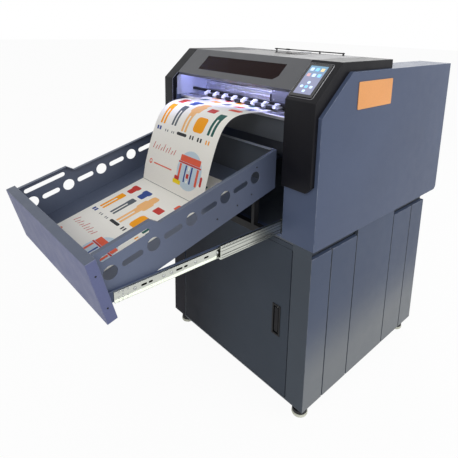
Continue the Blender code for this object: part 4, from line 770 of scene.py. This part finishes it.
for side, s in (("right", 1), ("left", -1)):
    for part in ("outer", "middle", "inner"):
        softened("slide_%s_member_%s" % (part, side), "slide_%s_%s" % (part, side), 0.00022, slide_zinc,
                 segments=1)
    outward = Vector((s, 0, 0))
    low, high, mid = limits("slide_inner_" + side)
    face_x = low.x + 0.00153 if s > 0 else high.x - 0.00153
    bm = bmesh.new()
    screws(bm, (face_x,), [low.y + y for y in (0.052, 0.130, 0.152, 0.226, 0.300)], (mid.z,), outward, 0.0042)
    for y, zs in ((0.012, (-0.007, 0.007)), (0.022, (-0.007, 0.0, 0.007)), (0.034, (-0.007, 0.007))):
        screws(bm, (face_x,), (low.y + y,), [mid.z + z for z in zs], outward, 0.0024)
    piece("slide_screws_" + side, bm, zinc_screw, "tray")
    # painted shade: flat black plates on the face stand for the shade seen through the punched slots
    bm = bmesh.new()
    for y, wide in ((0.076, 0.010), (0.094, 0.006), (0.176, 0.014), (0.196, 0.006), (0.262, 0.010),
                    (0.345, 0.014)):
        rim = [(end * (wide / 2 + SLOT_R * cos(a)), end * SLOT_R * sin(a))
               for end in (1, -1) for a in (-pi / 2 + pi * i / 8 for i in range(9))]
        bm.faces.new([bm.verts.new((face_x + s * 0.00004, low.y + y + u, mid.z + v)) for u, v in rim])
    bmesh.ops.solidify(bm, geom=bm.faces[:], thickness=0.0001)
    piece("slide_punchings_" + side, bm, painted_hole_shade, "tray")
    mid_low, mid_high, heart = limits("slide_middle_" + side)
    ball_x = heart.x - s * 0.0004
    bm = bmesh.new()
    for z in (mid.z - BALL_UP, mid.z + BALL_UP):
        for k in range(BALLS):
            at = (ball_x, mid_low.y + 0.012 + k * BALL_PITCH, z)
            bmesh.ops.create_uvsphere(bm, u_segments=10, v_segments=7, radius=0.0017,
                                      matrix=Matrix.Translation(at))
    piece("slide_balls_" + side, bm, ball_steel, "slide_middles")
    bm = bmesh.new()
    for z in (mid.z - BALL_UP, mid.z + BALL_UP):
        block(bm, (ball_x - 0.00035, mid_low.y + 0.006, z - 0.0012),
              (ball_x + 0.00035, mid_low.y + 0.250, z + 0.0012))
    piece("slide_cages_" + side, bm, slide_zinc, "slide_middles")
    bm = bmesh.new()
    face = mid_high.x if s > 0 else mid_low.x
    for up, half in ((0.0128, 0.0012), (0.0040, 0.0008), (-0.0076, 0.0014), (-0.0150, 0.0008)):
        bead(bm, [Vector((face, y, mid.z + up)) for y in (mid_low.y + 0.003, mid_high.y - 0.003)], half, RAISED,
             outward)
    for k in range(TRACK_NOTCHES):
        y = mid_low.y + 0.008 + k * NOTCH_PITCH
        bead(bm, [Vector((face, y, mid.z + up)) for up in (0.0146, 0.0182)], 0.0010, RAISED, outward)
    piece("slide_tracks_" + side, bm, track_shadow, "slide_middles")
    bm = bmesh.new()
    for k in range(NOTCHES):
        y = low.y + 0.010 + k * NOTCH_PITCH
        bead(bm, [Vector((x, y, high.z)) for x in (low.x + 0.0012, high.x - 0.0012)], 0.0010, RAISED,
             Vector((0, 0, 1)))
    bead(bm, [Vector((face_x, y, high.z - 0.0040)) for y in (low.y + 0.003, high.y - 0.003)], 0.0009, RAISED,
         outward)
    piece("slide_notches_" + side, bm, track_shadow, "tray")
    softened("tray_rail_" + side, "tray_carrier_" + side, 0.0008, blue_grey_paint)

# ======== catch tray
# The tray is folded from painted sheet: two side walls pierced with round and long holes, a sloping floor, a
# rear wall and a deep hollow front. Hand slots are cut near the front, and screws join it to its rails.
PEBBLED = {"drift": 0.06, "speck": 0.04, "grain": 1300}
tray_paint = finish("tray_paint", (0.086, 0.106, 0.156), 0.42, **PEBBLED, worn=(0.17, 0.19, 0.24),
                    specular=0.40)
front_paint = finish("front_paint", (0.132, 0.148, 0.275), 0.46, **SATIN, worn=(0.22, 0.235, 0.34),
                     specular=0.14)
outer_paint_lit_front = finish("outer_paint_lit_front", (0.068, 0.084, 0.134), 0.42, **PEBBLED, worn=(0.18, 0.20, 0.26),
                     specular=0.36)
# painted light: the outer faces of the tray walls are painted lighter toward the front, where more light falls
shaded_along(outer_paint_lit_front, "Y", (0.130, 0.158, 0.240), -0.24, -0.62, 0.9)
for side, outward in (("left", -1), ("right", 1)):
    softened("tray_side_" + side, "tray_wall_" + side, 0.0005, tray_paint, angle=50.0,
             second=outer_paint_lit_front, where=lambda middle, normal: normal.x * outward > 0.9)
softened("tray_bottom", "tray_floor", 0.0005, tray_paint)
# painted light and shade: the rear wall takes the darker slate paint as painted shade, and the flat top of its
# lip a paler paint as painted light
lip_painted_light = finish("lip_painted_light", (0.26, 0.29, 0.34), 0.42, **PEBBLED)
lip_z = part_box("tray_rear")[1].z - 0.0004
softened("tray_back", "tray_rear", 0.0005, slate_paint, second=lip_painted_light,
         where=lambda middle, normal: normal.z > 0.9 and middle.z > lip_z)
softened("tray_front_panel", "tray_front", 0.0012, front_paint, segments=3, second=tray_paint,
         where=lambda middle, normal: normal.z > 0.8)
softened("tray_support", "tray_stand", 0.0010, black_nylon)
TILT = radians(15.2)
TRAY_CORNER = Vector((0.0, -0.648772, 0.628))


def in_tray(x, s, n):
    """A point s along the tray's floor from its front and n above it."""
    along, out = cos(TILT), sin(TILT)
    return TRAY_CORNER + Vector((x, s * along - n * out, s * out + n * along))


bm = bmesh.new()
for side, s in (("left", -1), ("right", 1)):
    low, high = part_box("tray_wall_" + side)
    for along, up in ((0.462, 0.030), (0.405, 0.026), (0.500, 0.100), (0.330, 0.026), (0.020, 0.026)):
        screw(bm, in_tray(high.x if s > 0 else low.x, along, up), (s, 0, 0), 0.0026)
low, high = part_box("tray_front")
for x, s in ((low.x, -1), (high.x, 1)):
    for up in (0.010, 0.100):
        screw(bm, in_tray(x, -0.013, up), (s, 0, 0), 0.0022)
piece("tray_screws", bm, black_screw, "tray")

# ======== printed sheets
# One printed sheet comes over the platen and hangs down on to the tray, and another lies on the tray's floor.
# Both are thick card with rows of plain rounded swatches printed in a few inks.
card = finish("card", (0.90, 0.88, 0.81), 0.60, drift=0.02, speck=0.02, grain=1500, bump=0.08)
INKS = {"orange": (0.95, 0.37, 0.008), "peach": (0.90, 0.50, 0.20), "grey": (0.095, 0.115, 0.135),
        "teal": (0.014, 0.100, 0.085), "red": (0.56, 0.045, 0.035), "blue": (0.030, 0.070, 0.270),
        "sky": (0.56, 0.68, 0.76), "dark": (0.020, 0.022, 0.026), "coral": (0.78, 0.12, 0.06),
        "yellow": (0.92, 0.68, 0.02), "card": (0.90, 0.88, 0.81), "card_grey": (0.62, 0.66, 0.70)}
ink_names = sorted(INKS)
inks = [finish("ink_" + name, INKS[name], 0.50, drift=0.05, speck=0.04, grain=1500, specular=0.2)
        for name in ink_names]
WIDE, THICK, CLEAR, FLOOR_UP = 0.329, 0.0008, 0.0003, 0.0100
HANG_KNOTS = [(0.091, 0.0), (0.056, 0.0), (0.018, 0.0), (-0.020, 0.0024), (-0.055, 0.0034), (-0.088, 0.0006),
              (-0.118, -0.0105), (-0.142, -0.032), (-0.160, -0.062), (-0.174, -0.096), (-0.186, -0.130),
              (-0.197, -0.168), (-0.208, -0.208)]


def hanging_line(samples):
    """(y, z) along the underside of the hanging sheet from its lower end, and its whole length."""
    fold_y, platen_top = TRAY_CORNER.y + 0.551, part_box("platen_front")[1].z + CLEAR
    end_y = fold_y - 0.2168
    end_z = (TRAY_CORNER.z + (end_y - TRAY_CORNER.y) * tan(TILT)
             + (FLOOR_UP + THICK + 2 * CLEAR) / cos(TILT))
    knots = [Vector((fold_y + y, platen_top + z)) for y, z in HANG_KNOTS] + [Vector((end_y, end_z))]
    points = []
    for i in range(len(knots) - 1):
        p0, p1, p2, p3 = (knots[max(0, min(len(knots) - 1, i + k))] for k in (-1, 0, 1, 2))
        for j in range(16):
            t = j / 16
            points.append(0.5 * ((2 * p1) + (p2 - p0) * t + (2 * p0 - 5 * p1 + 4 * p2 - p3) * t * t
                                 + (3 * p1 - p0 - 3 * p2 + p3) * t ** 3))
    points.append(knots[-1])
    points.reverse()
    run = [0.0]
    for a, b in zip(points, points[1:]):
        run.append(run[-1] + (b - a).length)
    line = []
    for k in range(samples + 1):
        want = run[-1] * k / samples
        i = max(j for j in range(len(run)) if run[j] <= want + 1e-9)
        i = min(i, len(points) - 2)
        line.append(points[i].lerp(points[i + 1], (want - run[i]) / (run[i + 1] - run[i])))
    return line, run[-1]


line, HANG_LENGTH = hanging_line(236)
LYING_LENGTH = 0.483
lying_x, hanging_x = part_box("sheet_lying")[0].x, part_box("sheet_hanging")[0].x


def hanging_at(u, v, lift):
    """A point on the hanging sheet: u across it, v up it from its lower end, both in metres."""
    k = min(max(v / HANG_LENGTH, 0.0), 1.0) * (len(line) - 1)
    i = min(int(k), len(line) - 2)
    run = (line[i + 1] - line[i]).normalized()
    here = line[i].lerp(line[i + 1], k - i) + Vector((-run.y, run.x)) * (THICK + lift)
    return Vector((hanging_x + u, here.x, here.y))


def lying_at(u, v, lift):
    """A point on the lying sheet: u across it, v up the tray from its front end."""
    return in_tray(lying_x + u, 0.003 + v, FLOOR_UP + CLEAR + THICK + lift)


def sheet_body(name, at, length, body, rows, slot_node):
    """A thin closed card that follows a surface."""
    bm = bmesh.new()
    columns = 12
    upper, lower = ([[bm.verts.new(at(WIDE * i / columns, length * j / rows, lift)) for i in range(columns + 1)]
                     for j in range(rows + 1)] for lift in (0.0, -THICK))
    for grid in (upper, lower):
        for j in range(rows):
            for i in range(columns):
                bm.faces.new((grid[j][i], grid[j][i + 1], grid[j + 1][i + 1], grid[j + 1][i]))
    for j in range(rows):
        for i in (0, columns):
            bm.faces.new((upper[j][i], upper[j + 1][i], lower[j + 1][i], lower[j][i]))
    for i in range(columns):
        for j in (0, rows):
            bm.faces.new((upper[j][i], upper[j][i + 1], lower[j][i + 1], lower[j][i]))
    return piece(name, bm, card, body, (slot_node,))


STEP, MARGIN, LEAST_CUT = 0.0020, 0.002, 1e-6


def swatch(bm, at, ink, u, v, profile, length, lift):
    """Prints one shape, raised by lift: profile is rows of (distance up from v, left, right) about u."""
    stops = [row[0] for row in profile]
    low, high = max(stops[0], MARGIN - v), min(stops[-1], length - MARGIN - v)
    if high <= low:
        return
    cuts = [low]
    for s in sorted(stops + [k * STEP - v for k in range(int((v + low) / STEP), int((v + high) / STEP) + 2)]):
        if s - cuts[-1] > LEAST_CUT and high - s > LEAST_CUT:
            cuts.append(s)
    ring = None
    for s in cuts + [high]:
        for (s0, a0, b0), (s1, a1, b1) in zip(profile, profile[1:]):
            if s0 <= s <= s1:
                t = (s - s0) / (s1 - s0) if s1 > s0 else 0.0
                left, right = a0 + (a1 - a0) * t, b0 + (b1 - b0) * t
                break
        new = [bm.verts.new(at(u + edge, v + s, lift)) for edge in (left, right)]
        if ring:
            bm.faces.new((ring[0], ring[1], new[1], new[0])).material_index = ink_names.index(ink)
        ring = new


def rounded(length, half, corner):
    """An upright bar with rounded ends."""
    r = min(corner, half, length / 2)
    rows = []
    for k in range(5):
        a = pi / 2 * k / 4
        side = half - r + r * sin(a)
        rows.append((r - r * cos(a), -side, side))
    return rows + [(length - s, a, b) for s, a, b in reversed(rows)]


def disc(radius, steps=20):
    """A round spot."""
    return [(radius - radius * cos(pi * k / steps), -radius * sin(pi * k / steps),
             radius * sin(pi * k / steps)) for k in range(steps + 1)]


def prints(name, at, length, body, start):
    """The printed test chart, in millimetres: a tinted disc and bars at the foot, then marks and swatches."""
    bm = bmesh.new()

    def put(ink, u, v, profile, layer=0):
        profile = [(s / 1000, a / 1000, b / 1000) for s, a, b in profile]
        swatch(bm, at, ink, u / 1000, v / 1000 + start, profile, length, 0.00006 + 0.00005 * layer)

    put("sky", 238, 28, disc(60))
    put("coral", 236, 110, rounded(20, 50, 3), 1)
    put("red", 236, 104, rounded(5, 56, 2), 1)
    for k, ink in enumerate(("coral", "sky", "blue", "card", "blue", "sky", "coral")):
        put(ink, 193 + 14.5 * k, 50, rounded(52, 5.0 if ink == "coral" else 3.8, 1), 1)
    for ink, u, v, tall, half, corner, layer in (
            ("card_grey", 236, 58, 30, 11, 2, 2), ("red", 236, 64, 14, 6, 2, 3),
            ("yellow", 188, 36, 13, 20, 3, 2), ("red", 186, 49, 12, 12, 3, 3), ("red", 302, 56, 30, 5, 5, 2)):
        put(ink, u, v, rounded(tall, half, corner), layer)
    for k, tall in enumerate((22, 14, 18, 12, 24, 16, 20, 13, 18)):
        put("red", 26 + 15 * k, 116 - 1.2 * (k % 2), [(0, -1.7, 1.7), (tall, 5.3, 8.7)])
    put("coral", 30, 62, disc(8.5, 10))
    put("card", 30, 66.5, disc(4.5, 8), 1)
    put("coral", 101, 67.2, rounded(4, 52, 2))
    if start == 0.0:
        # a dark line along the hanging sheet's foot is painted shadow, where it meets the lying sheet
        half = WIDE * 500
        put("grey", half, 0, [(0, 1 - half, half - 1), (3.4, 1 - half, half - 1)])
    for ink, tall, half, pair in (("blue", 13, 4.8, (22, 36)), ("grey", 8, 2.4, (68, 80)),
                                  ("grey", 8, 2.2, (104, 114)), ("dark", 13, 3.4, (203, 216)),
                                  ("dark", 13, 3.8, (242, 256)), ("orange", 13, 3.0, (282, 294))):
        for u in pair:
            put(ink, u, 180, rounded(tall, half, 2))
    put("dark", 157, 181.5, rounded(10, 26, 5))
    for ink, u, v, wide in (("orange", 39, 203, 17), ("grey", 101, 206, 16), ("peach", 161, 196, 17),
                            ("teal", 287, 208, 18)):
        for leg in (-0.5, 0.5):
            put(ink, u + leg * wide, v, rounded(62, wide * 0.30, 2))
        put(ink, u, v + 56, rounded(26, wide * 0.86, 4), 1)
    for ink, u, v, tall, half, corner, layer in (
            ("orange", 226, 206, 52, 26, 13, 0), ("red", 226, 284, 24, 19, 3, 0),
            ("peach", 163, 268, 40, 24, 8, 2), ("peach", 163, 302, 32, 17, 10, 1),
            ("red", 43, 298, 36, 15, 6, 0), ("red", 43, 320, 18, 20.25, 7, 1),
            ("blue", 106, 300, 36, 16, 6, 0), ("blue", 106, 322, 18, 21.6, 7, 1)):
        put(ink, u, v, rounded(tall, half, corner), layer)
    for ink, u, v, tall, half in (
            ("coral", 282, 328, 22, 26), ("teal", 50, 382, 34, 14), ("orange", 112, 386, 30, 18),
            ("grey", 172, 382, 34, 13), ("coral", 232, 386, 28, 18), ("blue", 288, 382, 34, 12),
            ("peach", 60, 434, 30, 20), ("red", 124, 436, 28, 14), ("orange", 184, 434, 30, 18),
            ("teal", 244, 436, 28, 13), ("grey", 296, 434, 30, 14)):
        put(ink, u, v, rounded(tall, half, 5))
    return piece(name, bm, inks, body)


hanging = sheet_body("hanging_sheet", hanging_at, HANG_LENGTH, "machine", 236, "sheet_hanging")
lying = sheet_body("lying_sheet", lying_at, LYING_LENGTH, "tray", 24, "sheet_lying")
hanging_print = prints("hanging_print", hanging_at, HANG_LENGTH, "machine", 0.0)
lying_print = prints("lying_print", lying_at, LYING_LENGTH, "tray", -0.031)
for each in (hanging, hanging_print):
    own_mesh(each)
